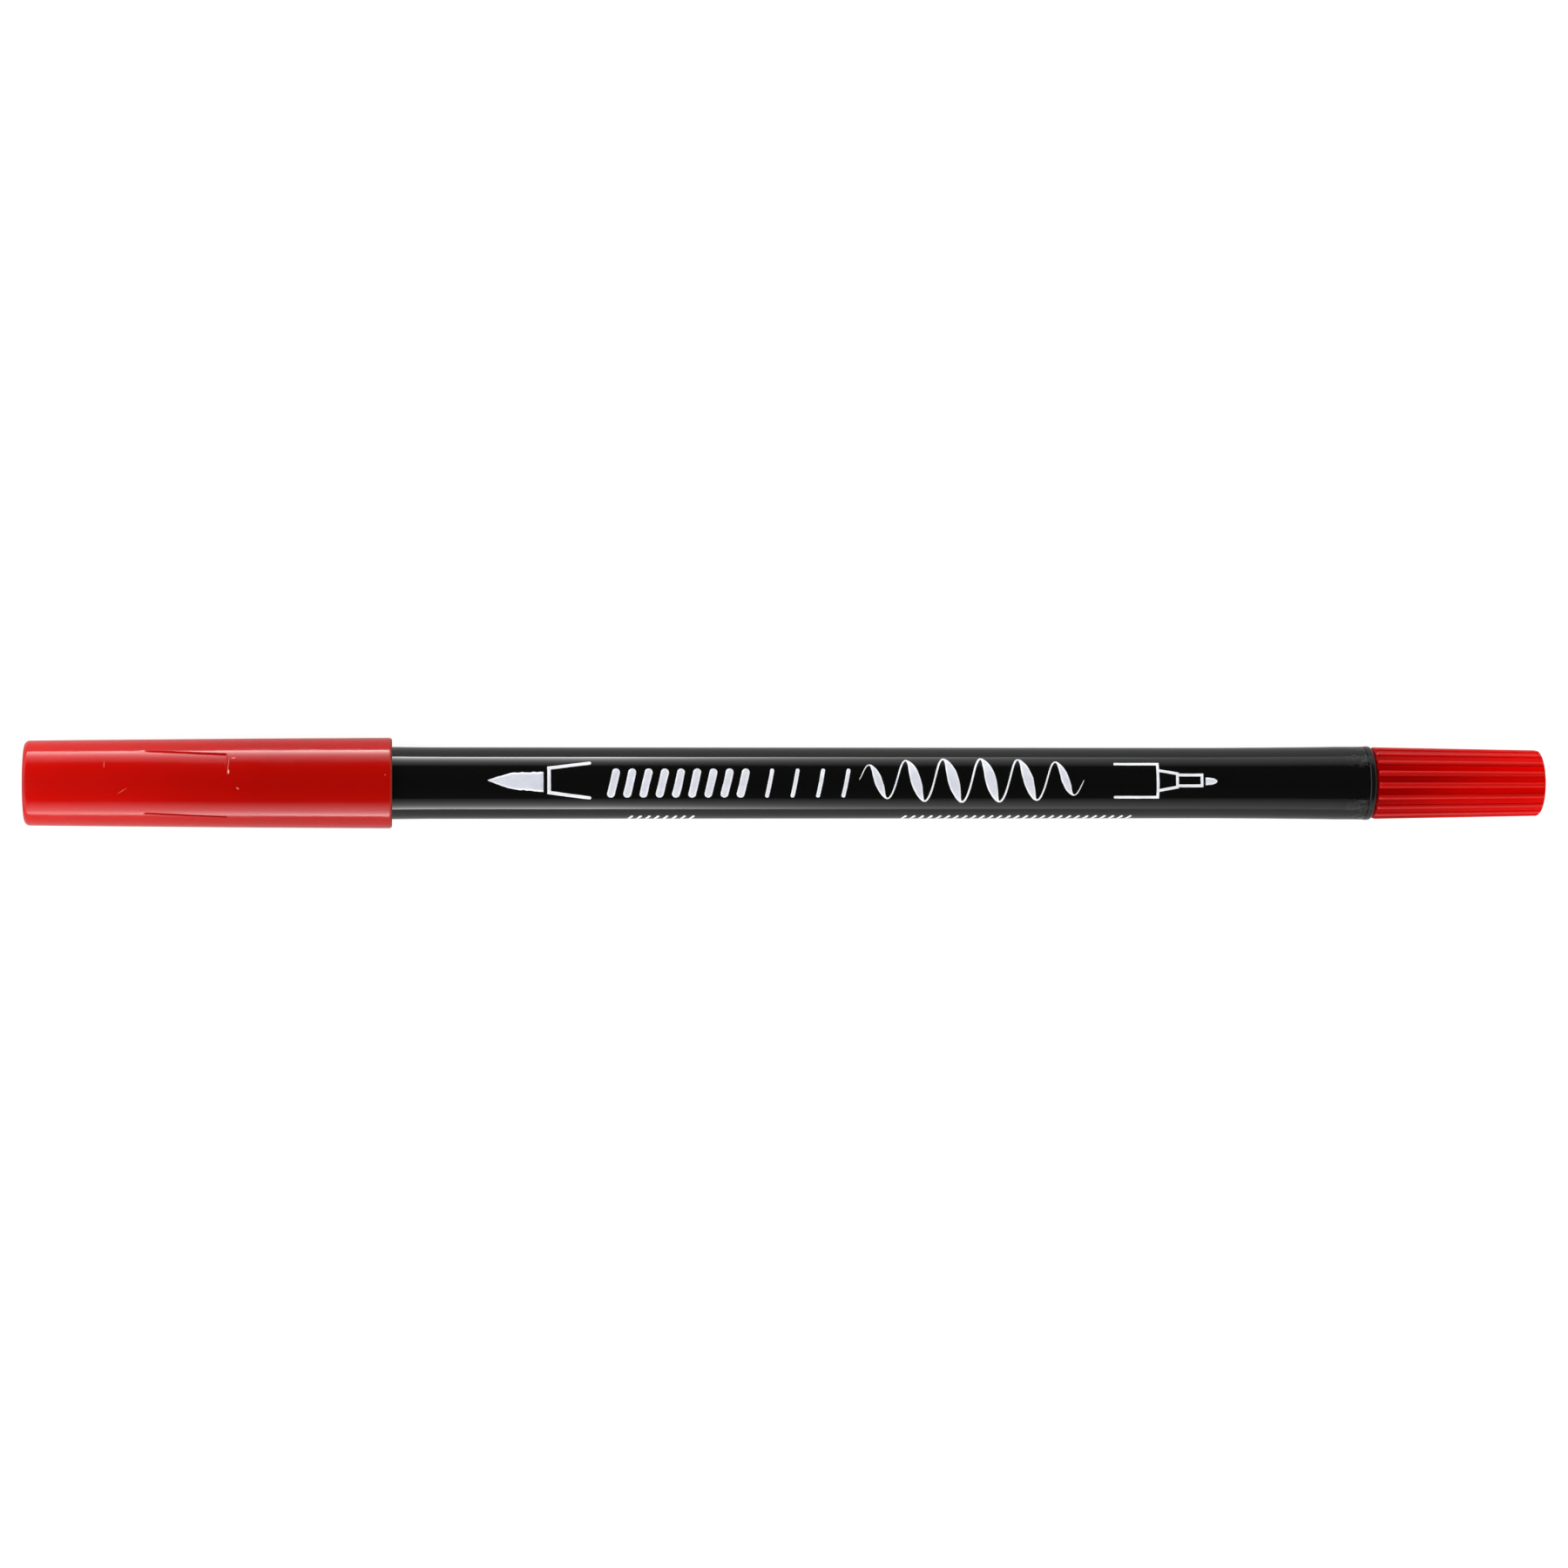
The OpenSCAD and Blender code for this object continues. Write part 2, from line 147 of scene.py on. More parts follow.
# ---------------------------------------------------------------- colour and nodes


def linear(colour: str) -> tuple[float, ...]:
    """Turns an sRGB hex colour into a linear one.

    Args:
        colour: six hex digits after a #.

    Returns:
        Linear red, green and blue, and an alpha of 1.
    """
    shares = [int(colour[i : i + 2], 16) / 255 for i in (1, 3, 5)]
    return *(c / 12.92 if c <= 0.04045 else ((c + 0.055) / 1.055) ** 2.4 for c in shares), 1.0


def add(
    tree: NodeTree,
    kind: str,
    inputs: Mapping[str | int, Any] | Sequence[Any] = (),
    out: str | int = 0,
    **settings: Any,
) -> NodeSocket | None:
    """Adds a node with its settings and links.

    Args:
        tree: the node tree to add to.
        kind: the node's type, without ShaderNode.
        inputs: values, or the sockets they are linked from, by input name or number, or in order.
        out: name or number of the output that is wanted.
        settings: the node's own properties.

    Returns:
        That output, whose node leads to the others, or None from a node that has no output.
    """
    node = tree.nodes.new("ShaderNode" + kind)
    for name, value in settings.items():
        setattr(node, name, value)
    for key, value in inputs.items() if isinstance(inputs, Mapping) else enumerate(inputs):
        if isinstance(value, NodeSocket):
            tree.links.new(value, node.inputs[key])
        else:
            node.inputs[key].default_value = value
    return node.outputs[out] if node.outputs else None


def blank_tree(owner: bpy.types.Material | bpy.types.World) -> NodeTree:
    """Switches a material's or a world's nodes on and empties them."""
    owner.use_nodes = True
    owner.node_tree.nodes.clear()
    return owner.node_tree


def seen(tree: NodeTree) -> NodeSocket:
    """1 on rays that the camera sends, also past clear things, and 0 on all others."""
    rays = add(tree, "LightPath").node.outputs
    return add(
        tree, "Math", (rays["Is Camera Ray"], rays["Is Transmission Ray"]), operation="MAXIMUM"
    )


def coats(
    tree: NodeTree, base: str | NodeSocket, *layers: tuple[NodeSocket, str | NodeSocket]
) -> NodeSocket:
    """Lays colours over one another.

    Args:
        tree: the node tree to add to.
        base: the lowest colour, as a hex colour or a socket.
        layers: a mask and a colour for each coat, which covers what is under it where its mask is 1.

    Returns:
        The colour that shows.
    """
    shown = linear(base) if isinstance(base, str) else base
    for mask, colour in layers:
        over = linear(colour) if isinstance(colour, str) else colour
        # The Mix node's colours are its inputs 6 and 7 and its output 2
        shown = add(tree, "Mix", {0: mask, 6: shown, 7: over}, 2, data_type="RGBA")
    return shown


def relief(tree: NodeTree, *layers: tuple[NodeSocket, float]) -> NodeSocket:
    """A normal for several heights from 0 to 1, each with its depth in millimetres, one upon another."""
    normal: dict[str, NodeSocket] = {}
    for height, depth_mm in layers:
        bump = add(tree, "Bump", {"Height": height, "Distance": depth_mm * MM, **normal})
        normal = {"Normal": bump}
    return normal["Normal"]


def noise(
    tree: NodeTree, place: NodeSocket, size_mm: Sequence[float], detail: float = 2.0
) -> NodeSocket:
    """Noise from 0 to 1 whose features have the given sizes along X, Y and Z."""
    scale = [1 / (size * MM) for size in size_mm]
    spread = add(tree, "Mapping", {"Vector": place, "Scale": scale})
    return add(tree, "TexNoise", {"Vector": spread, "Scale": 1.0, "Detail": detail}, "Fac")


@dataclass(frozen=True)
class Specks:
    """Scattered round dots, such as dust or pinholes.

    Args:
        spacing_mm: size of a cell, which holds one dot at most.
        size_mm: diameter of a dot.
        share: share of the cells that have one.
    """

    spacing_mm: float
    size_mm: float
    share: float

    def mask(self, tree: NodeTree, place: NodeSocket, strength: float = 1.0) -> NodeSocket:
        """The dots as a mask that rises to their strength."""
        scale = [1 / (self.spacing_mm * MM)] * 3
        spread = add(tree, "Mapping", {"Vector": place, "Scale": scale})
        cells = add(tree, "TexVoronoi", {"Vector": spread, "Scale": 1.0}).node.outputs
        radius = self.size_mm / 2 / self.spacing_mm
        dot = add(tree, "MapRange", (cells["Distance"], radius, radius * 0.6, 0.0, strength))
        lottery = add(tree, "SeparateColor", (cells["Color"],), "Red")
        chosen = add(tree, "Math", (lottery, self.share), operation="LESS_THAN")
        return add(tree, "Math", (dot, chosen), operation="MULTIPLY")


@dataclass(frozen=True)
class Mark:
    """A small mark, as a flat ellipse on the side that the camera sees: a scratch or nick, and at the
    notch's end wall a painted glint.

    Args:
        centre: its middle, in metres.
        length_mm: its length.
        width_mm: its width.
        turn: its turn from the marker's axis towards +Y, in degrees.
        strength: how plainly it shows, up to 1.
        reach_mm: how far above and under its middle it still shows.
    """

    centre: Vector
    length_mm: float
    width_mm: float
    turn: float
    strength: float
    reach_mm: float = 2.0

    def mask(self, tree: NodeTree, place: NodeSocket) -> NodeSocket:
        """0 at the ellipse's edge, rising to the mark's strength half-way to its middle."""
        local = add(
            tree,
            "Mapping",
            {
                "Vector": place,
                "Location": self.centre,
                "Rotation": (0.0, 0.0, math.radians(self.turn)),
                "Scale": (self.length_mm / 2 * MM, self.width_mm / 2 * MM, self.reach_mm * MM),
            },
            vector_type="TEXTURE",
        )
        away = add(tree, "VectorMath", (local,), "Value", operation="LENGTH")
        return add(tree, "MapRange", (away, 1.0, 0.5, 0.0, self.strength))


# ---------------------------------------------------------------- finishes


@dataclass(frozen=True)
class Finish:
    """One finish of one real material.

    Args:
        name: the material's common name and how its surface was made.
        colour: sRGB colour of the surface.
        roughness: mean roughness of the surface.
        ior: refractive index.
        specular: Blender's specular level, 0.5 where the index alone sets the gloss.
    """

    name: str
    colour: str
    roughness: float
    ior: float = 1.49
    specular: float = 0.5

    def material(self) -> bpy.types.Material:
        """Builds the Blender material from what surface() and glow() give."""
        made = bpy.data.materials.new(self.name)
        tree = blank_tree(made)
        plain = {
            "Base Color": linear(self.colour),
            "Roughness": self.roughness,
            "IOR": self.ior,
            "Specular IOR Level": self.specular,
        }
        own = self.surface(tree, add(tree, "TexCoord", out="Object"))
        shader = add(tree, "BsdfPrincipled", plain | own)
        add(tree, "OutputMaterial", {"Surface": self.glow(tree, shader)})
        return made

    def surface(self, tree: NodeTree, place: NodeSocket) -> dict[str, Any]:
        """Gives the shader's inputs that this finish sets; each finish has its own."""
        return {}

    def glow(self, tree: NodeTree, shader: NodeSocket) -> NodeSocket:
        """Adds light of the surface's own to its shader; most have none."""
        return shader

    def dress(self, *pieces: bpy.types.Object) -> None:
        """Puts this finish on every material slot of the pieces."""
        made = bpy.data.materials.get(self.name) or self.material()
        for piece in pieces:
            if not piece.material_slots:
                piece.data.materials.append(made)
            for slot in piece.material_slots:
                slot.link = "OBJECT"
                slot.material = made


@dataclass(frozen=True)
class RibLine:
    """Where the short cap's rib tops lie, which tells its material how deep in a valley a point is, for the
    painted shade and the weaker gloss there.

    Args:
        x_mm: the mouth's and the closed end's x.
        top_mm: radius of the rib tops at both.
        height_mm: height of a rib.
        floor_from: how deep a valley's painted shade starts and is full, in rib heights.
        floor_to: how deep it fades and is gone, so that the bore and the closed end don't take it.
    """

    x_mm: tuple[float, float]
    top_mm: tuple[float, float]
    height_mm: float
    floor_from: tuple[float, float] = (0.35, 0.85)
    floor_to: tuple[float, float] = (1.5, 3.0)

    def valley(self, tree: NodeTree, place: NodeSocket) -> NodeSocket:
        """1 on a valley's floor and 0 on a rib's top, by distance from the axis."""
        split = add(tree, "SeparateXYZ", (place,)).node.outputs
        across = add(tree, "CombineXYZ", {"Y": split["Y"], "Z": split["Z"]})
        radius = add(tree, "VectorMath", (across,), "Value", operation="LENGTH")
        stretch = [mm * MM for mm in (*self.x_mm, *self.top_mm)]
        top = add(tree, "MapRange", (split["X"], *stretch))
        sunk = add(tree, "Math", (top, radius), operation="SUBTRACT")
        start, full, fade, gone = (
            share * self.height_mm * MM for share in (*self.floor_from, *self.floor_to)
        )
        deep = add(tree, "MapRange", (sunk, start, full))
        within = add(tree, "MapRange", (sunk, fade, gone, 1.0, 0.0))
        return add(tree, "Math", (within, deep), operation="MULTIPLY")


@dataclass(frozen=True, kw_only=True)
class CapPlastic(Finish):
    """Coloured polypropylene from a polished mould: clear gloss over fine draw lines.

    The colour carries painted shade along the marker: it darkens away from the closed end, for the black
    barrel under the thin wall and for the light that falls off along the marker, and most in the thin
    valleys between ribs.

    Args:
        painted_shade_colour: colour where the painted shade is full.
        shade_x_mm: x where the painted shade starts and where it is full.
        rim_x_mm: x of the mouth's rim, where painted shade darkens the colour to olive brown.
        rim_mm: distance from the rim at which that painted shade starts, is full, and fades again.
        rim_shade_colour: colour of that painted shade, for the shaded rim with light showing through its
            edge.
        ribs: where the ribs lie, on a ribbed cap.
        valley_shade_colours: colour of the painted shade in the valleys, near the closed end and at the
            mouth.
        valley_specular: specular level in the valleys, because the mould is polished on the ribs only.
        nick_and_glint_colour: colour of scratches, dust and painted glints.
        placed: the scratches and nicks, and the painted glints at the notch's end wall.
        dust: the dust.
        cloud_mm: size of the clouds that move the edge of the painted shade by up to cloud_shift_mm.
        streak_mm: size of the mould's draw lines, about 0.02 mm apart and drawn ten times coarser to show.
        patch_mm: size of the patches of weaker gloss.
        wave_mm: size of the faint waves of the wall, which move the edges of highlights.
    """

    painted_shade_colour: str = "#A60803"
    shade_x_mm: tuple[float, float]
    rim_x_mm: float | None = None
    rim_mm: tuple[float, float, float] = (0.2, 0.07, 0.03)
    rim_shade_colour: str = "#50300C"
    ribs: RibLine | None = None
    valley_shade_colours: tuple[str, str] = ("#D00300", "#8A0000")
    valley_specular: float = 0.06
    nick_and_glint_colour: str = "#FFC8B8"
    placed: tuple[Mark, ...] = ()
    dust: Specks = Specks(2.6, 0.12, 0.22)
    cloud_mm: tuple[float, ...] = (9.0, 3.0, 3.0)
    cloud_shift_mm: float = 2.0
    streak_mm: tuple[float, ...] = (16.0, 0.22, 0.22)
    patch_mm: tuple[float, ...] = (6.0, 1.2, 1.2)
    wave_mm: tuple[float, ...] = (5.0, 2.2, 2.2)

    def rim(self, tree: NodeTree, place: NodeSocket) -> NodeSocket:
        """1 just before the mouth's rim, where its shade is painted and its gloss dulled, and 0 a fifth of
        a millimetre away.
        """
        along = add(tree, "SeparateXYZ", (place,), "X")
        start, full, fade = ((self.rim_x_mm - away) * MM for away in self.rim_mm)
        before = add(tree, "MapRange", (along, start, full))
        on_face = add(tree, "MapRange", (along, fade, self.rim_x_mm * MM, 1.0, 0.15))
        return add(tree, "Math", (before, on_face), operation="MULTIPLY")

    def body_colour(
        self, tree: NodeTree, place: NodeSocket, streaks: NodeSocket
    ) -> NodeSocket:
        """Colour along the wall, with its painted shade along the marker, in the valleys and at the rim."""
        along = add(tree, "SeparateXYZ", (place,), "X")
        cloud = noise(tree, place, self.cloud_mm)
        reach = self.cloud_shift_mm * MM
        shift = add(tree, "MapRange", (cloud, *NOISE_MIDDLE, -reach, reach))
        along = add(tree, "Math", (along, shift), operation="ADD")
        # painted shade along the marker: 0 at the start of its stretch, full at the far end
        shaded = add(tree, "MapRange", (along, *(x * MM for x in self.shade_x_mm)))
        tint = add(tree, "MapRange", (streaks, *NOISE_MIDDLE, 0.0, 0.15))
        layers = [(shaded, self.painted_shade_colour), (tint, self.painted_shade_colour)]
        if self.ribs is not None:
            # painted shade in the valleys between ribs, darker towards the mouth
            valley_shade_near_end, valley_shade_at_mouth = self.valley_shade_colours
            floor = coats(tree, valley_shade_near_end, (shaded, valley_shade_at_mouth))
            layers.append((self.ribs.valley(tree, place), floor))
        if self.rim_x_mm is not None:
            # painted shade at the mouth's rim, olive brown where light shows through its edge
            layers.append((self.rim(tree, place), self.rim_shade_colour))
        return coats(tree, self.colour, *layers)

    def surface(self, tree: NodeTree, place: NodeSocket) -> dict[str, Any]:
        """Colour, streaks from the mould, dust, nicks, painted glints and an uneven gloss."""
        streaks = noise(tree, place, self.streak_mm, 3.0)
        dust_marks_and_glints = self.dust.mask(tree, place, 0.3)
        # the placed marks include painted glints at the notch's end wall
        for mark in self.placed:
            dust_marks_and_glints = add(tree, "Math", (dust_marks_and_glints, mark.mask(tree, place)), operation="MAXIMUM")
        patch = noise(tree, place, self.patch_mm, 4.0)
        gloss = add(
            tree, "MapRange", (patch, *NOISE_MIDDLE, self.roughness * 0.8, self.roughness * 1.3)
        )
        worn = add(tree, "Math", (dust_marks_and_glints, 0.5), operation="MULTIPLY")
        if self.rim_x_mm is not None:
            matt_rim = add(tree, "Math", (self.rim(tree, place), 0.6), operation="MULTIPLY")
            worn = add(tree, "Math", (worn, matt_rim), operation="ADD")
        wave = noise(tree, place, self.wave_mm, 1.0)
        body = self.body_colour(tree, place, streaks)
        made = {
            "Base Color": coats(tree, body, (dust_marks_and_glints, self.nick_and_glint_colour)),
            "Roughness": add(tree, "Math", (gloss, worn), operation="MAXIMUM"),
            "Normal": relief(tree, (streaks, 0.0004), (wave, 0.006), (dust_marks_and_glints, 0.006)),
        }
        if self.ribs is not None:
            floor = self.ribs.valley(tree, place)
            levels = (floor, 0.0, 1.0, self.specular, self.valley_specular)
            made["Specular IOR Level"] = add(tree, "MapRange", levels)
        return made


@dataclass(frozen=True, kw_only=True)
class BlackPlastic(Finish):
    """Black polypropylene, drawn or moulded glossy: deep black with fine lines along it and a little dust.

    Where a section is pressed into the tube, its skin is dented over the last few millimetres.

    Args:
        line_mm: size of the drawing lines, a few hundredths of a millimetre but drawn coarser to show.
        line_depth_mm: their depth.
        dust: the dust.
        dust_colour: its colour.
        smear_mm: size of the smears of weaker gloss.
        wave_mm: size of the faint waves of the wall.
        press_x_mm: x of the tube's end where a section is pressed in, if one is.
        press_l_mm: length of the stretch that it dents.
        dent_mm: size of the dents.
    """

    line_mm: tuple[float, ...] = (22.0, 0.16, 0.16)
    line_depth_mm: float = 0.0009
    dust: Specks = Specks(3.1, 0.11, 0.12)
    dust_colour: str = "#6E6E6A"
    smear_mm: tuple[float, ...] = (8.0, 1.6, 1.6)
    wave_mm: tuple[float, ...] = (6.0, 2.4, 2.4)
    press_x_mm: float | None = None
    press_l_mm: float = 2.6
    dent_mm: tuple[float, ...] = (0.9, 0.8, 0.8)

    def surface(self, tree: NodeTree, place: NodeSocket) -> dict[str, Any]:
        """Lines along the tube, faint waves in the gloss, and pale dust that dulls it."""
        dust = self.dust.mask(tree, place)
        smear = noise(tree, place, self.smear_mm, 4.0)
        gloss = add(
            tree, "MapRange", (smear, 0.35, 0.75, self.roughness * 0.8, self.roughness * 1.5)
        )
        dusty = add(tree, "Math", (dust, 0.5), operation="MULTIPLY")
        layers = [
            (noise(tree, place, self.line_mm, 3.0), self.line_depth_mm),
            (noise(tree, place, self.wave_mm, 1.0), 0.004),
        ]
        if self.press_x_mm is not None:
            along = add(tree, "SeparateXYZ", (place,), "X")
            end = self.press_x_mm * MM
            nearby = add(tree, "MapRange", (along, end - self.press_l_mm * MM, end))
            dents = noise(tree, place, self.dent_mm)
            layers.append((add(tree, "Math", (nearby, dents), operation="MULTIPLY"), 0.16))
        return {
            "Base Color": coats(tree, self.colour, (dust, self.dust_colour)),
            "Roughness": add(tree, "Math", (gloss, dusty), operation="MAXIMUM"),
            "Normal": relief(tree, *layers),
        }


@dataclass(frozen=True)
class LinerPlastic(Finish):
    """Natural low-density polyethylene as moulded: milky, waxy and slightly see-through."""

    stain: str = "#B5482F"
    cloud_mm: tuple[float, ...] = (1.8, 1.8, 1.8)
    stain_mm: tuple[float, ...] = (2.4, 1.1, 1.1)

    def surface(self, tree: NodeTree, place: NodeSocket) -> dict[str, Any]:
        """Waxy clouding, faint ink stains, and light that travels a little way inside."""
        cloud = noise(tree, place, self.cloud_mm, 3.0)
        stained = add(
            tree, "MapRange", (noise(tree, place, self.stain_mm, 4.0), 0.58, 0.74, 0.0, 0.5)
        )
        rough = (cloud, *NOISE_MIDDLE, self.roughness * 0.85, self.roughness * 1.2)
        return {
            "Base Color": coats(tree, self.colour, (stained, self.stain)),
            "Roughness": add(tree, "MapRange", rough),
            "Subsurface Weight": 0.25,
            "Subsurface Radius": (1.0, 0.8, 0.6),
            "Subsurface Scale": 0.5 * MM,
            "Normal": relief(tree, (cloud, 0.004)),
        }


@dataclass(frozen=True, kw_only=True)
class BondedFibre(Finish):
    """Nylon or polyester fibres bonded side by side and soaked with ink: matt, streaky, wet in places.

    Args:
        wet_colour: colour where the ink stands wetter.
        fibre_mm: width of a bundle. One fibre is about 0.02 mm thick, too fine to show.
        streak_l_mm: length of a streak along X.
        wet_mm: size of the wet patches.
    """

    wet_colour: str = "#5E0A07"
    fibre_mm: float = 0.09
    streak_l_mm: float = 3.5
    wet_mm: tuple[float, ...] = (2.2, 0.8, 0.8)

    def surface(self, tree: NodeTree, place: NodeSocket) -> dict[str, Any]:
        """Streaks one bundle wide along X, and patches where the ink stands wetter."""
        fibres = noise(tree, place, (self.streak_l_mm, self.fibre_mm, self.fibre_mm))
        wet = noise(tree, place, self.wet_mm, 3.0)
        dry_top = add(tree, "MapRange", (fibres, 0.35, 0.7))
        soaked = add(tree, "MapRange", (wet, 0.35, 0.7, 0.0, 0.45))
        rough = (wet, 0.35, 0.7, self.roughness, self.roughness * 0.6)
        return {
            "Base Color": coats(
                tree, self.wet_colour, (dry_top, self.colour), (soaked, self.wet_colour)
            ),
            "Roughness": add(tree, "MapRange", rough),
            "Sheen Weight": 0.15,
            "Sheen Roughness": 0.5,
            "Normal": relief(tree, (fibres, 0.02)),
        }


@dataclass(frozen=True)
class FilmWrap(Finish):
    """Clear-white polypropylene film, calendered and rolled: smooth, and the ink shows faintly through."""

    ink: str = "#B0392E"
    band_mm: tuple[float, ...] = (7.0, 2.0, 2.0)

    def surface(self, tree: NodeTree, place: NodeSocket) -> dict[str, Any]:
        """Ink that shows in soft bands through the film."""
        bands = add(tree, "MapRange", (noise(tree, place, self.band_mm), 0.35, 0.7, 0.2, 0.6))
        return {"Base Color": coats(tree, self.colour, (bands, self.ink))}


@dataclass(frozen=True)
class PrintedInk(Finish):
    """White screen-printing ink on plastic: flat and satin, a little mottled, with rare pinholes.

    It piles up along a stroke's edge, so edges and thin lines are a denser white than broad strokes.

    Args:
        edge_colour: colour along an edge.
        edge_mm: distance from the edge at which that colour starts to fade and is gone.
        bare_colour: colour of the plastic as it shows through.
        mesh_mm: pitch of a screen of 120 threads per centimetre, which mottles the ink.
        cloud_mm: size of the thinner patches.
        pinholes: the pinholes.
    """

    edge_colour: str = "#F0F0F4"
    edge_mm: tuple[float, float] = (0.11, 0.21)
    bare_colour: str = "#3A3A42"
    mesh_mm: float = 0.08
    cloud_mm: tuple[float, ...] = (1.4, 0.6, 0.6)
    pinholes: Specks = Specks(0.7, 0.06, 0.12)

    def surface(self, tree: NodeTree, place: NodeSocket) -> dict[str, Any]:
        """Mottling as fine as the screen, and pinholes."""
        mottle = noise(tree, place, [self.mesh_mm] * 3)
        both = (mottle, noise(tree, place, self.cloud_mm))
        thickness = add(tree, "Math", both, operation="ADD")
        thin = add(tree, "MapRange", (thickness, 0.8, 1.25, 0.14, 0.0))
        holes = self.pinholes.mask(tree, place, 0.7)
        worn = add(tree, "Math", (thin, holes), operation="MAXIMUM")
        from_edge = add(tree, "Attribute", out="Fac", attribute_name=INK_EDGE)
        inner = add(tree, "MapRange", (from_edge, *self.edge_mm))
        return {
            "Base Color": coats(
                tree, self.edge_colour, (inner, self.colour), (worn, self.bare_colour)
            ),
            "Normal": relief(tree, (mottle, 0.002)),
        }


# ---------------------------------------------------------------- meshes


def about_axis(x: Any, radius: Any, angle: Any) -> np.ndarray:
    """Points (x, r sin a, r cos a), a from straight up towards +Y; the arguments are broadcast together."""
    x, radius, angle = np.broadcast_arrays(x, radius, angle)
    return np.stack([x, radius * np.sin(angle), radius * np.cos(angle)], axis=-1)


def grid_faces(rows: int, columns: int, first: int = 0) -> np.ndarray:
    """Quads of a grid whose columns close into a ring: each joins two rows and two neighbouring columns."""
    row, column = np.meshgrid(np.arange(rows - 1), np.arange(columns), indexing="ij")
    near, after = row * columns + column, row * columns + (column + 1) % columns
    return np.stack([near, near + columns, after + columns, after], axis=-1).reshape(-1, 4) + first


def mesh_piece(
    name: str, *grids_mm: np.ndarray, values: Mapping[str, np.ndarray] | None = None
) -> bpy.types.Object:
    """Makes a smooth mesh of grids, closes its seams and poles, and turns its faces outwards.

    Args:
        name: the piece's name.
        grids_mm: each is rows by columns by 3, in the marker's frame, and its columns close into rings.
        values: a value per point for each attribute that the material reads.

    Returns:
        The new object, at the origin.
    """
    first = np.cumsum([0] + [grid.shape[0] * grid.shape[1] for grid in grids_mm])
    points = np.concatenate([grid.reshape(-1, 3) for grid in grids_mm]) * MM
    faces = [grid_faces(*grid.shape[:2], start) for grid, start in zip(grids_mm, first)]
    mesh = bpy.data.meshes.new(name)
    mesh.from_pydata(points.tolist(), [], np.concatenate(faces).tolist())
    for key, per_point in (values or {}).items():
        mesh.attributes.new(key, "FLOAT", "POINT").data.foreach_set("value", per_point)
    work = bmesh.new()
    work.from_mesh(mesh)
    bmesh.ops.remove_doubles(work, verts=work.verts, dist=1e-7)
    bmesh.ops.dissolve_degenerate(work, edges=work.edges, dist=1e-8)
    bmesh.ops.recalc_face_normals(work, faces=work.faces)
    work.to_mesh(mesh)
    work.free()
    mesh.polygons.foreach_set("use_smooth", np.ones(len(mesh.polygons), bool))
    piece = bpy.data.objects.new(name, mesh)
    bpy.context.scene.collection.objects.link(piece)
    return piece


def stand_in(piece: bpy.types.Object, node: str, body: Body) -> None:
    """Shows a piece in place of a CAD node, on its body."""
    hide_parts(node)
    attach(piece, body.value)
    LOG.info("%s: %d faces", piece.name, len(piece.data.polygons))


def crisp_profile(corners: Sequence[tuple[float, float]], close: float = 0.015) -> np.ndarray:
    """A profile's corners, each between two close points that keep it crisp under smooth shading."""
    rows = [np.array(corners[0])]
    for first, last in zip(np.array(corners[:-1]), np.array(corners[1:])):
        share = close / np.linalg.norm(last - first)
        rows += [first + (last - first) * part for part in (share, 1 - share, 1.0)]
    return np.array(rows)


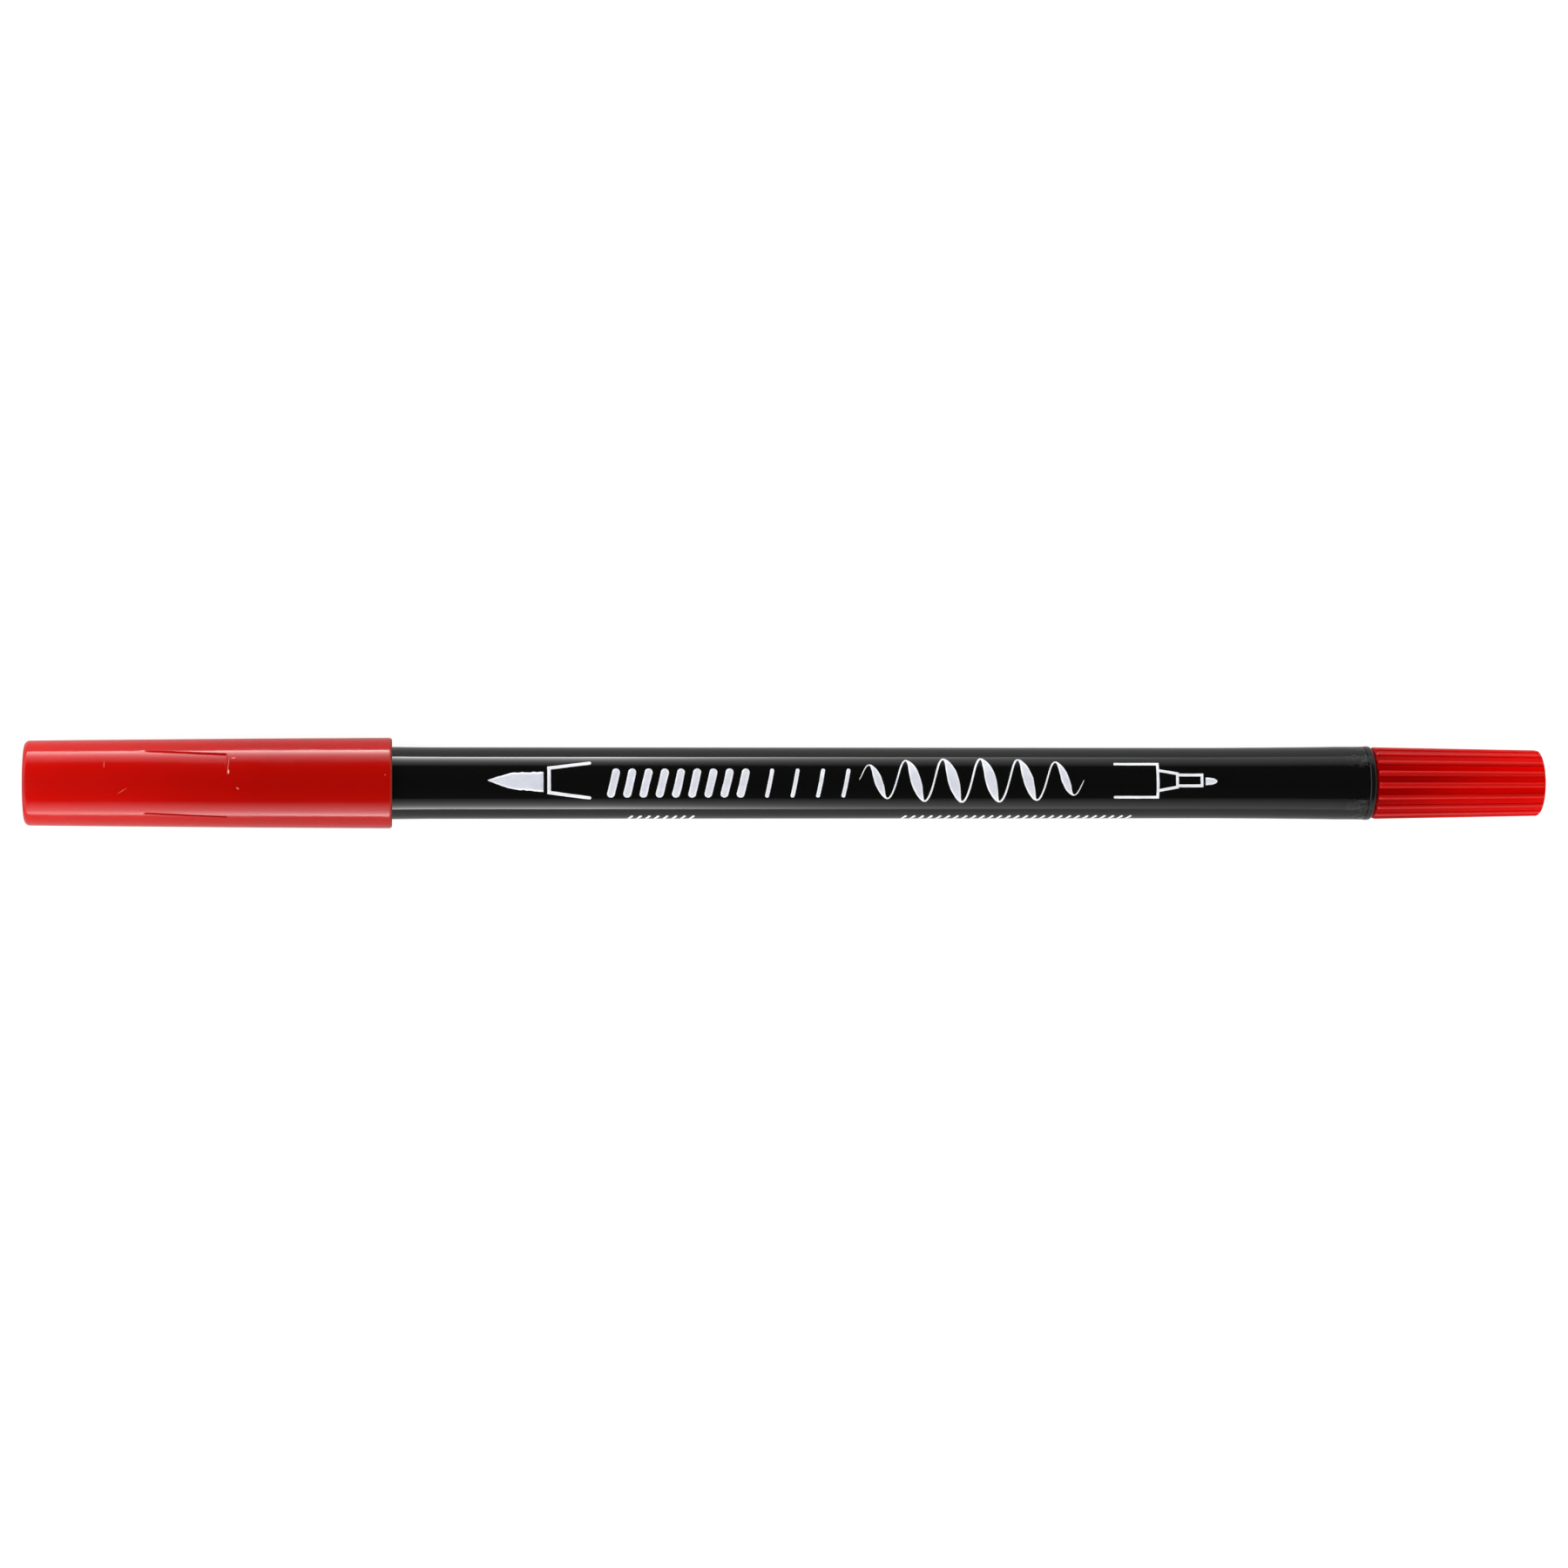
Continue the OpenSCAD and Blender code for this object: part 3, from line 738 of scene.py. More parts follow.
@dataclass(frozen=True)
class InkStroke:
    """One printed stroke: a centre line on the barrel's skin and a half width along it.

    Args:
        path: n by 2 points (x, s) in millimetres.
        half: n half widths in millimetres; the stroke closes where they reach 0.
        sideways: n by 2 directions in which the width is laid off, unit vectors or mitres.
    """

    path: np.ndarray
    half: np.ndarray
    sideways: np.ndarray

    @staticmethod
    def round_end(reach: float) -> tuple[np.ndarray, np.ndarray]:
        """A round end from its tip inwards: distances -r cos a from its middle, and half widths r sin a."""
        turn = np.linspace(0, np.pi / 2, 9)
        return -reach * np.cos(turn), reach * np.sin(turn)

    @classmethod
    def along(cls, path: np.ndarray, half: np.ndarray) -> InkStroke:
        """A stroke whose width is laid off square to its path."""
        run = np.gradient(path, axis=0)
        run /= np.linalg.norm(run, axis=1, keepdims=True)
        return cls(path, half, np.stack([-run[:, 1], run[:, 0]], axis=1))

    @classmethod
    def across(cls, x: np.ndarray, s: np.ndarray, half: np.ndarray) -> InkStroke:
        """A solid figure along the marker, whose width is laid off square to the marker's axis."""
        return cls(np.stack([x, s], axis=1), half, np.tile([0.0, 1.0], (len(x), 1)))

    @classmethod
    def straight(
        cls, start: tuple[float, float], end: tuple[float, float], width: float
    ) -> InkStroke:
        """A straight line with round ends."""
        a, b = np.array(start), np.array(end)
        length = float(np.linalg.norm(b - a))
        tip, tip_half = cls.round_end(width / 2)
        middle = np.linspace(0, length, int(length / 0.5) + 2)[1:-1]
        t = np.concatenate([tip, middle, length - tip[::-1]])
        half = np.concatenate([tip_half, np.full(len(middle), width / 2), tip_half[::-1]])
        return cls.along(a + np.outer(t / length, b - a), half)

    @classmethod
    def bracket(
        cls,
        x: tuple[float, float],
        half_s: tuple[float, float],
        centre_s: float,
        width: float,
    ) -> InkStroke:
        """An outline open at one end: out along one side, across the end and back, with mitred corners.

        Args:
            x: x of the open and of the closed end.
            half_s: half the outline's width at both.
            centre_s: s of its middle line.
            width: width of the stroke.

        Returns:
            The stroke, with round ends.
        """
        (open_x, closed_x), (open_s, closed_s) = x, half_s
        corners = np.array(
            [[open_x, open_s], [closed_x, closed_s], [closed_x, -closed_s], [open_x, -open_s]]
        )
        corners[:, 1] += centre_s
        runs = np.diff(corners, axis=0)
        square = np.stack([-runs[:, 1], runs[:, 0]], axis=1)
        square /= np.linalg.norm(runs, axis=1, keepdims=True)
        mitres = square[:-1] + square[1:]
        mitres /= np.sum(mitres * square[1:], axis=1, keepdims=True)
        tip, tip_half = cls.round_end(width / 2)
        steps = len(tip)
        share = np.linspace(0.1, 0.9, steps)[:, None]
        side, closed, back = (corners[i] + runs[i] * share for i in range(3))
        ends = [runs[i] / np.linalg.norm(runs[i]) * tip[:, None] for i in (0, 2)]
        path = np.concatenate(
            [
                corners[0] + ends[0],
                side,
                corners[1:2],
                closed,
                corners[2:3],
                back,
                corners[3] - ends[1][::-1],
            ]
        )
        half = np.concatenate([tip_half, np.full(3 * steps + 2, width / 2), tip_half[::-1]])
        ways = [square[0], mitres[0], square[1], mitres[1], square[2]]
        return cls(path, half, np.repeat(ways, [2 * steps, 1, steps, 1, 2 * steps], axis=0))


@dataclass
class Printer:
    """Lays ink strokes on the barrel's skin as thin closed solids.

    Args:
        radius_mm: radius of the barrel where it is printed.
        ink_mm: thickness of the ink.
        bite_mm: how far the ink's underside lies under the skin, so that no light passes between.
        lift_mm: extra height of every second stroke, so that those that cross lie one over the other.
        columns: number of steps across a stroke.
        edge_share: how far an edge strays, as a share of the stroke's half width.
        dice: random numbers for the edges.
    """

    radius_mm: float
    ink_mm: float = 0.012
    bite_mm: float = 0.01
    lift_mm: float = 0.001
    columns: int = 8
    edge_share: float = 0.05
    dice: np.random.Generator = field(default_factory=lambda: np.random.default_rng(7))

    def grid(self, stroke: InkStroke, lift_mm: float) -> np.ndarray:
        """Wraps a stroke round the barrel.

        A point across the stroke is path + v * half * sideways, with v from -1 to 1. It is wrapped as
        (x, r sin(s / R), r cos(s / R)), with R the barrel's radius and r that radius plus the ink's
        thickness on the way out and minus the bite on the way back.

        Args:
            stroke: the stroke to wrap.
            lift_mm: its extra height.

        Returns:
            rows by columns by 3 points, in millimetres.
        """
        v = np.linspace(-1, 1, self.columns + 1)
        rows = len(stroke.half)
        stray = self.dice.normal(0, self.edge_share, rows * 2 + 2)
        low, high = np.convolve(stray, [0.25, 0.5, 0.25], "valid").reshape(2, rows, 1)
        wave = np.where(v < 0, low, high)
        reach = v * (1 + wave * np.abs(v)) * stroke.half[:, None]
        flat = stroke.path[:, None, :] + reach[..., None] * stroke.sideways[:, None, :]
        x, angle = flat[..., 0], flat[..., 1] / self.radius_mm
        out = about_axis(x, self.radius_mm + self.ink_mm + lift_mm, angle)
        back = about_axis(x, self.radius_mm - self.bite_mm, angle)[:, ::-1]
        return np.concatenate([out, back], axis=1)

    def lay(self, name: str, strokes: Sequence[InkStroke], ink: Finish) -> bpy.types.Object:
        """Prints several strokes as one piece.

        Args:
            name: the piece's name.
            strokes: the strokes.
            ink: the finish.

        Returns:
            The piece, riding on the marker's body.
        """
        grids = [self.grid(stroke, self.lift_mm * (i % 2)) for i, stroke in enumerate(strokes)]
        inwards = np.tile(1 - np.abs(np.linspace(-1, 1, self.columns + 1)), 2)
        from_edge = [np.outer(stroke.half, inwards).ravel() for stroke in strokes]
        piece = mesh_piece(name, *grids, values={INK_EDGE: np.concatenate(from_edge)})
        ink.dress(piece)
        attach(piece, Body.MARKER.value)
        LOG.info("%s: %d strokes, %d faces", name, len(strokes), len(piece.data.polygons))
        return piece


# ---------------------------------------------------------------- camera and image points


@dataclass(frozen=True)
class PhotoCamera:
    """The photograph's camera: over a place near the long cap's mouth, a little to the left of the middle.

    Args:
        foot_mm: the point of the marker's axis plane that it stands over.
        height_mm: its height over the axis.
        aim_x_mm: the x that it looks at.
        lens: focal length.
        sensor: sensor width.
        clip_m: the nearest and the farthest distance that it sees.
    """

    foot_mm: tuple[float, float] = (-46.2, -0.1)
    height_mm: float = 476.0
    aim_x_mm: float = -1.16
    lens: float = 101.0
    sensor: float = 36.0
    clip_m: tuple[float, float] = (0.01, 20.0)

    def create(self) -> bpy.types.Object:
        """Makes the camera, with the image's up towards +Y, and sets it as the scene's."""
        data = bpy.data.cameras.new("photo_camera")
        data.sensor_fit = "AUTO"
        data.lens, data.sensor_width = self.lens, self.sensor
        data.clip_start, data.clip_end = self.clip_m
        camera = bpy.data.objects.new("photo_camera", data)
        camera.location = Vector((*self.foot_mm, self.height_mm)) * MM
        lean = math.atan((self.aim_x_mm - self.foot_mm[0]) / self.height_mm)
        camera.rotation_euler = (0.0, -lean, 0.0)
        bpy.context.scene.collection.objects.link(camera)
        bpy.context.scene.camera = camera
        bpy.context.view_layer.update()
        return camera


@dataclass
class View:
    """Rays and projections of the photograph's camera, in the scaled image frame."""

    camera: bpy.types.Object
    side: float = IMAGE_LONG_SIDE

    @property
    def depth(self) -> float:
        """Distance of the image plane, in pixels."""
        return self.side * self.camera.data.lens / self.camera.data.sensor_width

    def ray(self, x: float, y: float) -> tuple[Vector, Vector]:
        """Start and direction of the ray through an image point."""
        local = Vector((x - self.side / 2, self.side / 2 - y, -self.depth))
        world = self.camera.matrix_world
        return world.translation.copy(), (world.to_3x3() @ local).normalized()

    def place(self, name: str, carrier: BVHTree) -> Vector:
        """Finds the place on a carrier that an image point shows.

        Args:
            name: the image point's name.
            carrier: the surface that the thing sits on.

        Returns:
            Where the ray meets it, or the place nearest the ray where it passes by.
        """
        start, direction = self.ray(*IMAGE_POINTS[name])
        hit = carrier.ray_cast(start, direction)[0]
        if hit is not None:
            return hit
        along = start.length
        for _ in range(12):
            nearest = carrier.find_nearest(start + direction * along)[0]
            along = (nearest - start).dot(direction)
        return nearest

    def pixels(self, points: np.ndarray) -> np.ndarray:
        """Image x and y of points in the marker's frame, as an n by 2 array."""
        inverse = np.array(self.camera.matrix_world.inverted())
        local = points @ inverse[:3, :3].T + inverse[:3, 3]
        scale = self.depth / -local[:, 2:]
        return self.side / 2 + local[:, :2] * scale * np.array([1, -1])


def finished_mesh(piece: bpy.types.Object) -> tuple[np.ndarray, np.ndarray]:
    """Vertices, in the marker's frame, and triangles of a piece with its modifiers applied."""
    shown = piece.evaluated_get(bpy.context.evaluated_depsgraph_get())
    mesh = shown.to_mesh()
    mesh.calc_loop_triangles()
    points = np.empty(len(mesh.vertices) * 3)
    mesh.vertices.foreach_get("co", points)
    triangles = np.empty(len(mesh.loop_triangles) * 3, int)
    mesh.loop_triangles.foreach_get("vertices", triangles)
    shown.to_mesh_clear()
    world = np.array(piece.matrix_world)
    points = points.reshape(-1, 3) @ world[:3, :3].T + world[:3, 3]
    return points, triangles.reshape(-1, 3)


def surface_tree(pieces: Sequence[bpy.types.Object]) -> BVHTree:
    """A tree of the finished surfaces of several pieces."""
    meshes = [finished_mesh(piece) for piece in pieces]
    first = np.cumsum([0] + [len(points) for points, _ in meshes])
    points = np.concatenate([points for points, _ in meshes])
    triangles = np.concatenate([own + start for (_, own), start in zip(meshes, first)])
    return BVHTree.FromPolygons(points.tolist(), triangles.tolist())


@dataclass
class PointReport:
    """Measures how far each thing shows from its image point, by the finished vertices that show.

    Args:
        view: the photograph's view.
        reach_px: how far from the image point a vertex counts.
        clearance: how much nearer the camera a surface must be to hide a vertex, in metres.
    """

    view: View
    reach_px: float = 14.0
    clearance: float = 0.02 * MM

    def __post_init__(self) -> None:
        """Builds the tree of all that can hide a vertex."""
        self.tree = surface_tree(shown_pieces())
        self.eye = self.view.camera.matrix_world.translation

    def shows(self, point: np.ndarray) -> bool:
        """True if nothing lies between the camera and a point."""
        target = Vector(point)
        direction = (target - self.eye).normalized()
        hit = self.tree.ray_cast(self.eye, direction)[3]
        return hit is None or hit > (target - self.eye).length - self.clearance

    def off(
        self,
        name: str,
        points: np.ndarray,
        edges: tuple[Edge, Edge] = (Edge.MIDDLE, Edge.MIDDLE),
        whole: bool = False,
    ) -> dict[str, Any]:
        """Compares a thing with its image point.

        Args:
            name: the image point's name.
            points: the thing's finished vertices.
            edges: which of its places in the image counts, for x and for y.
            whole: True where all of the thing counts, and not only what is near the point.

        Returns:
            The point, where the thing shows, and how far that is from it.
        """
        point = IMAGE_POINTS[name]
        pixels = self.view.pixels(points)
        near = np.ones(len(points), bool)
        for way, at in enumerate(point):
            if at is not None and not whole:
                near &= np.abs(pixels[:, way] - at) < self.reach_px
        shown = pixels[[i for i in np.flatnonzero(near) if self.shows(points[i])]]
        shows: list[float | None] = [None, None]
        away: list[float | None] = [None, None]
        for way, at in enumerate(point):
            if at is not None and len(shown):
                value = edges[way].of(shown[:, way])
                shows[way], away[way] = round(value, 2), round(value - at, 2)
        return {"point": point, "shows": shows, "off": away}


# ---------------------------------------------------------------- sub-assemblies


@dataclass
class Barrel:
    """The printed black tube and the two moulded sections pressed into it.

    Args:
        nodes: the CAD nodes by name.
        tube: finish of the tube.
        section: finish of both sections.
        straight_mm: how far from the marker's middle the tube is straight, either way.
        skin_from_mm: a radius between the tube's bore and its skin.
    """

    nodes: Mapping[str, bpy.types.Object]
    tube: BlackPlastic = BlackPlastic(
        "polypropylene_drawn_gloss_black", "#0A0B0A", 0.07, 1.47, 0.45
    )
    section: BlackPlastic = BlackPlastic(
        "polypropylene_moulded_black",
        "#101010",
        0.16,
        1.47,
        0.45,
        line_depth_mm=0.0012,
        dust=Specks(3.1, 0.11, 0.2),
    )
    straight_mm: float = 45.0
    skin_from_mm: float = 3.6

    def dress(self) -> None:
        """Gives the tube and both sections their finish."""
        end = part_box("barrel")[1].x / MM
        replace(self.tube, press_x_mm=end).dress(self.nodes["barrel"])
        sections = ("brush_section", "fine_section", "fine_nib_holder")
        self.section.dress(*(self.nodes[name] for name in sections))
        LOG.info("barrel and sections dressed")

    @property
    def radius_mm(self) -> float:
        """Radius of the straight stretch, which is the least on the tube's skin."""
        points = finished_mesh(self.nodes["barrel"])[0] / MM
        outer = np.hypot(points[:, 1], points[:, 2])
        skin = (np.abs(points[:, 0]) < self.straight_mm) & (outer > self.skin_from_mm)
        return float(outer[skin].min())


@dataclass
class BarrelPrint:
    """The white print: pictures of both nibs, and a generic row of practice strokes between them.

    The real marker has names and numbers between the pictures. They are left off, and plain strokes of
    about their size and colour take their place. Sizes are in millimetres, and heights are lengths of
    arc. The places of the strokes are shares of the gap between the pictures: where a group starts, and
    how long it runs.
    """

    printer: Printer
    view: View
    carrier: BVHTree
    ink: PrintedInk = PrintedInk("screen_ink_white", "#D8DBE5", 0.45)
    outline_w: float = 0.37
    fine_outline_w: float = 0.3
    brush_l: float = 6.0
    brush_half: float = 1.08
    brush_shoulder: float = 0.46
    brush_lean: float = 0.17
    nose_l: float = 4.35
    nose_half: tuple[float, float] = (1.95, 1.34)
    body_l: float = 4.68
    body_half: float = 1.87
    cone_l: float = 1.98
    cone_half: tuple[float, float] = (1.1, 0.73)
    tube_l: float = 2.7
    tube_half: float = 0.59
    nib_l: float = 1.3
    nib_half: float = 0.41
    broad_at: tuple[float, float] = (0.045, 0.245)
    thin_at: tuple[float, float] = (0.34, 0.145)
    line_at: tuple[float, float] = (0.51, 0.43)
    left_ticks_at: tuple[float, float] = (0.082, 0.12)
    right_ticks_at: tuple[float, float] = (0.603, 0.44)
    bar_rise: float = 3.2
    bar_lean: float = 0.55
    wave_rise: float = 2.5
    wave_middle: float = 0.35
    tick_s: tuple[float, float] = (-4.55, -5.4)
    tick_w: float = 0.3
    pieces: dict[str, bpy.types.Object] = field(default_factory=dict)

    def spot(self, name: str) -> tuple[float, float]:
        """Place (x, s) on the skin of a picture's image point."""
        place = self.view.place(name, self.carrier) / MM
        return place.x, self.printer.radius_mm * math.atan2(place.y, place.z)

    def print(self, name: str, *strokes: InkStroke) -> None:
        """Prints strokes as one piece and keeps it."""
        self.pieces[name] = self.printer.lay(name, strokes, self.ink)

    def brush_picture(self) -> None:
        """The brush nib, solid and printed a little askew, and the nose that holds it, in outline.

        Half width of the brush over its length u: it rises as u to the power 0.9 up to the shoulder, then
        linearly to the base, and drops to 0 at the base, which closes it.
        """
        x, s = self.spot("print_brush_tip")
        shoulder, shoulder_half = self.brush_shoulder, self.brush_half * 0.86
        u = np.append(np.linspace(0, 1, 40), 1.0)
        tip = shoulder_half * (u / shoulder) ** 0.9
        base = np.interp(u, [shoulder, 1], [shoulder_half, self.brush_half])
        half = np.where(u < shoulder, tip, base)
        half[-1] = 0
        middle = s + self.brush_lean * (0.8 - u)
        self.print(
            "print_brush_tip", InkStroke.across(x + (u - 0.5) * self.brush_l, middle, half)
        )
        x, s = self.spot("print_brush_nose")
        ends = (x + self.nose_l / 2, x - self.nose_l / 2)
        nose = InkStroke.bracket(ends, self.nose_half, s, self.outline_w)
        self.print("print_brush_nose", nose)

    def fine_picture(self) -> None:
        """The fine end in outline, as three stepped brackets, and its bullet nib, solid.

        Half width of the nib over its length u: the root of 1 - u^2, a half ellipse.
        """
        width = self.fine_outline_w
        x, s = self.spot("print_fine_body")
        body_end = x + self.body_l / 2
        cone_end = body_end + self.cone_l + width / 2
        tube_end = cone_end + self.tube_l
        inset = width * 0.3
        body, cone, tube = (
            InkStroke.bracket(ends, halves, s, width)
            for ends, halves in (
                ((x - self.body_l / 2, body_end), (self.body_half, self.body_half)),
                ((body_end + inset, cone_end), self.cone_half),
                ((cone_end + inset, tube_end), (self.tube_half, self.tube_half)),
            )
        )
        self.print("print_fine_body", body)
        self.print("print_fine_cone", cone, tube)
        x, s = self.spot("print_fine_nib")
        u = np.append(0.0, np.linspace(0, 1, 20))
        half = self.nib_half * np.sqrt(1 - u**2)
        half[0] = 0
        nib = InkStroke.across(x + (u - 0.5) * self.nib_l, np.full_like(u, s), half)
        self.print("print_fine_nib", nib)

    def practice_strokes(self) -> None:
        """Generic practice strokes between the pictures: broad, thin, swelling, and rows of ticks."""
        start = self.spot("print_brush_nose")[0] + self.nose_l / 2
        gap = self.spot("print_fine_body")[0] - self.body_l / 2 - start
        broad, thin, line, left_ticks, right_ticks = (
            (start + gap * at, gap * run)
            for at, run in (
                self.broad_at,
                self.thin_at,
                self.line_at,
                self.left_ticks_at,
                self.right_ticks_at,
            )
        )
        self.print("print_broad_strokes", *self.bars(*broad, 9, 0.84))
        self.print("print_thin_strokes", *self.bars(*thin, 4, 0.42))
        self.print("print_swelling_line", self.swelling_line(*line))
        self.print("print_ticks_left", *self.ticks(*left_ticks))
        self.print("print_ticks_right", *self.ticks(*right_ticks))

    def bars(self, start: float, run: float, count: int, width: float) -> list[InkStroke]:
        """Slanted strokes with round ends, evenly spread over the run."""
        rise, lean = (self.bar_rise - width) / 2, self.bar_lean / 2
        return [
            InkStroke.straight((x - lean, -rise), (x + lean, rise), width)
            for x in np.linspace(start, start + run, count)
        ]

    def swelling_line(self, start: float, run: float, waves: int = 6) -> InkStroke:
        """A wave, broad on the way down and thin on the way up, that starts and ends in a point.

        Over its length u: s = middle + rise * sin(phase) * sin(pi u)^0.2, and the half width is
        (0.1 + 0.5 d^2) * sin(pi u)^0.25, with d how steeply the wave goes down.
        """
        u = np.linspace(0, 1, 50 * waves)
        phase = 2 * np.pi * waves * u
        s = self.wave_middle + self.wave_rise * np.sin(phase) * np.sin(np.pi * u) ** 0.2
        down = np.clip(-np.cos(phase), 0, 1)
        half = (0.1 + 0.5 * down**2) * np.sin(np.pi * u) ** 0.25
        half[[0, -1]] = 0
        return InkStroke.along(np.stack([start + run * u, s], axis=1), half)

    def ticks(self, start: float, run: float, pitch: float = 0.95) -> list[InkStroke]:
        """A row of short ticks low on the side, where the marker turns away from the camera."""
        from_s, to_s = self.tick_s
        return [
            InkStroke.straight((x, from_s), (x - self.tick_w, to_s), self.tick_w)
            for x in np.arange(start, start + run, pitch)
        ]


@dataclass
class InkStore:
    """The ink reservoir and its film, closed in the barrel."""

    nodes: Mapping[str, bpy.types.Object]
    fibre: BondedFibre = BondedFibre(
        "polyester_fibre_inked", "#B0322A", 0.8, 1.5, wet_colour="#7A1712", fibre_mm=0.12
    )
    film: FilmWrap = FilmWrap("polypropylene_film_rolled", "#D8D8D0", 0.3, 1.49)

    def dress(self) -> None:
        """Gives the reservoir and its film their finish."""
        self.fibre.dress(self.nodes["ink_reservoir"])
        self.film.dress(self.nodes["reservoir_film"])
        LOG.info("reservoir and film dressed")


@dataclass
class Nibs:
    """The brush nib, remade with its fibres, and the fine nib.

    Sizes are the CAD nib's own, in millimetres; shoulder and shoulder_share are shares of the shown
    length and of the nib's radius.
    """

    nodes: Mapping[str, bpy.types.Object]
    shown_l: float = 12.0
    seat_l: float = 4.0
    shoulder: float = 0.52
    shoulder_share: float = 0.88
    tip_r: float = 0.25
    tail_r: float = 1.6
    tail_round: float = 0.5
    groove_mm: float = 0.045
    grooves: int = 64
    columns: int = 384
    waves: int = 6
    brush: BondedFibre = BondedFibre("nylon_fibre_brush_inked", "#A8160E", 0.55, 1.5)
    fine: BondedFibre = BondedFibre(
        "acrylic_fibre_rod_inked", "#9C150E", 0.5, 1.5, fibre_mm=0.06
    )

    def brush_nib(self) -> bpy.types.Object:
        """The brush nib with its bundles of fibres.

        The radius over the shown length is the CAD's: a slow taper to the shoulder, then an ogive to the
        round tip. Bundles are cut into it as a row of shallow grooves,
        r - g * (1 - |sin(n a / 2 + waves)|^0.7) * fade, whose phase wanders along the nib and which fade
        out towards the tip and inside the nose.
        """
        low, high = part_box("brush_nib")
        tip, base_r, end = low.x / MM, high.z / MM, high.x / MM
        shoulder_r = base_r * self.shoulder_share
        share = np.linspace(1, 0, 110)
        taper = base_r - (base_r - shoulder_r) * (share / self.shoulder) ** 2
        past = np.clip((share - self.shoulder) / (1 - self.shoulder), 0, 1)
        ogive = self.tip_r + (shoulder_r - self.tip_r) * (1 - past**1.35)
        shown = np.where(share < self.shoulder, taper, ogive)
        turn = np.radians(np.linspace(-90, 0, 10))
        nose = tip + self.shown_l
        seat = nose + self.seat_l
        # The first three rows of the shown length lie within the round tip
        x = np.concatenate(
            [
                tip + self.tip_r * (1 + np.sin(turn)),
                (nose - self.shown_l * share)[3:],
                [seat, seat, end - self.tail_round, end, end],
            ]
        )
        tail = [base_r, self.tail_r, self.tail_r, self.tail_r - self.tail_round, 0.0]
        profile = np.concatenate([self.tip_r * np.cos(turn), shown[3:], tail])
        fade = np.clip((x - tip - 0.6) / 3.0, 0, 1) * (x < nose + self.seat_l / 2)
        phases = np.random.default_rng(11).uniform(0, 2 * np.pi, self.waves)
        angle = np.linspace(0, 2 * np.pi, self.columns, endpoint=False)
        x, profile, fade = x[:, None], profile[:, None], fade[:, None]
        wander = sum(
            0.35 * np.sin((k + 2) * angle + 0.5 * (k + 1) * x / self.shown_l + phases[k])
            for k in range(self.waves)
        )
        groove = np.abs(np.sin(self.grooves * angle / 2 + wander)) ** 0.7
        radius = profile - self.groove_mm * (1 - groove) * fade
        piece = mesh_piece("brush_nib_fibres", about_axis(x, radius, angle))
        self.brush.dress(piece)
        stand_in(piece, "brush_nib", Body.MARKER)
        return piece

    def dress(self) -> None:
        """Makes the brush nib and dresses the fine one."""
        self.brush_nib()
        self.fine.dress(self.nodes["fine_nib"])
        LOG.info("fine nib dressed")


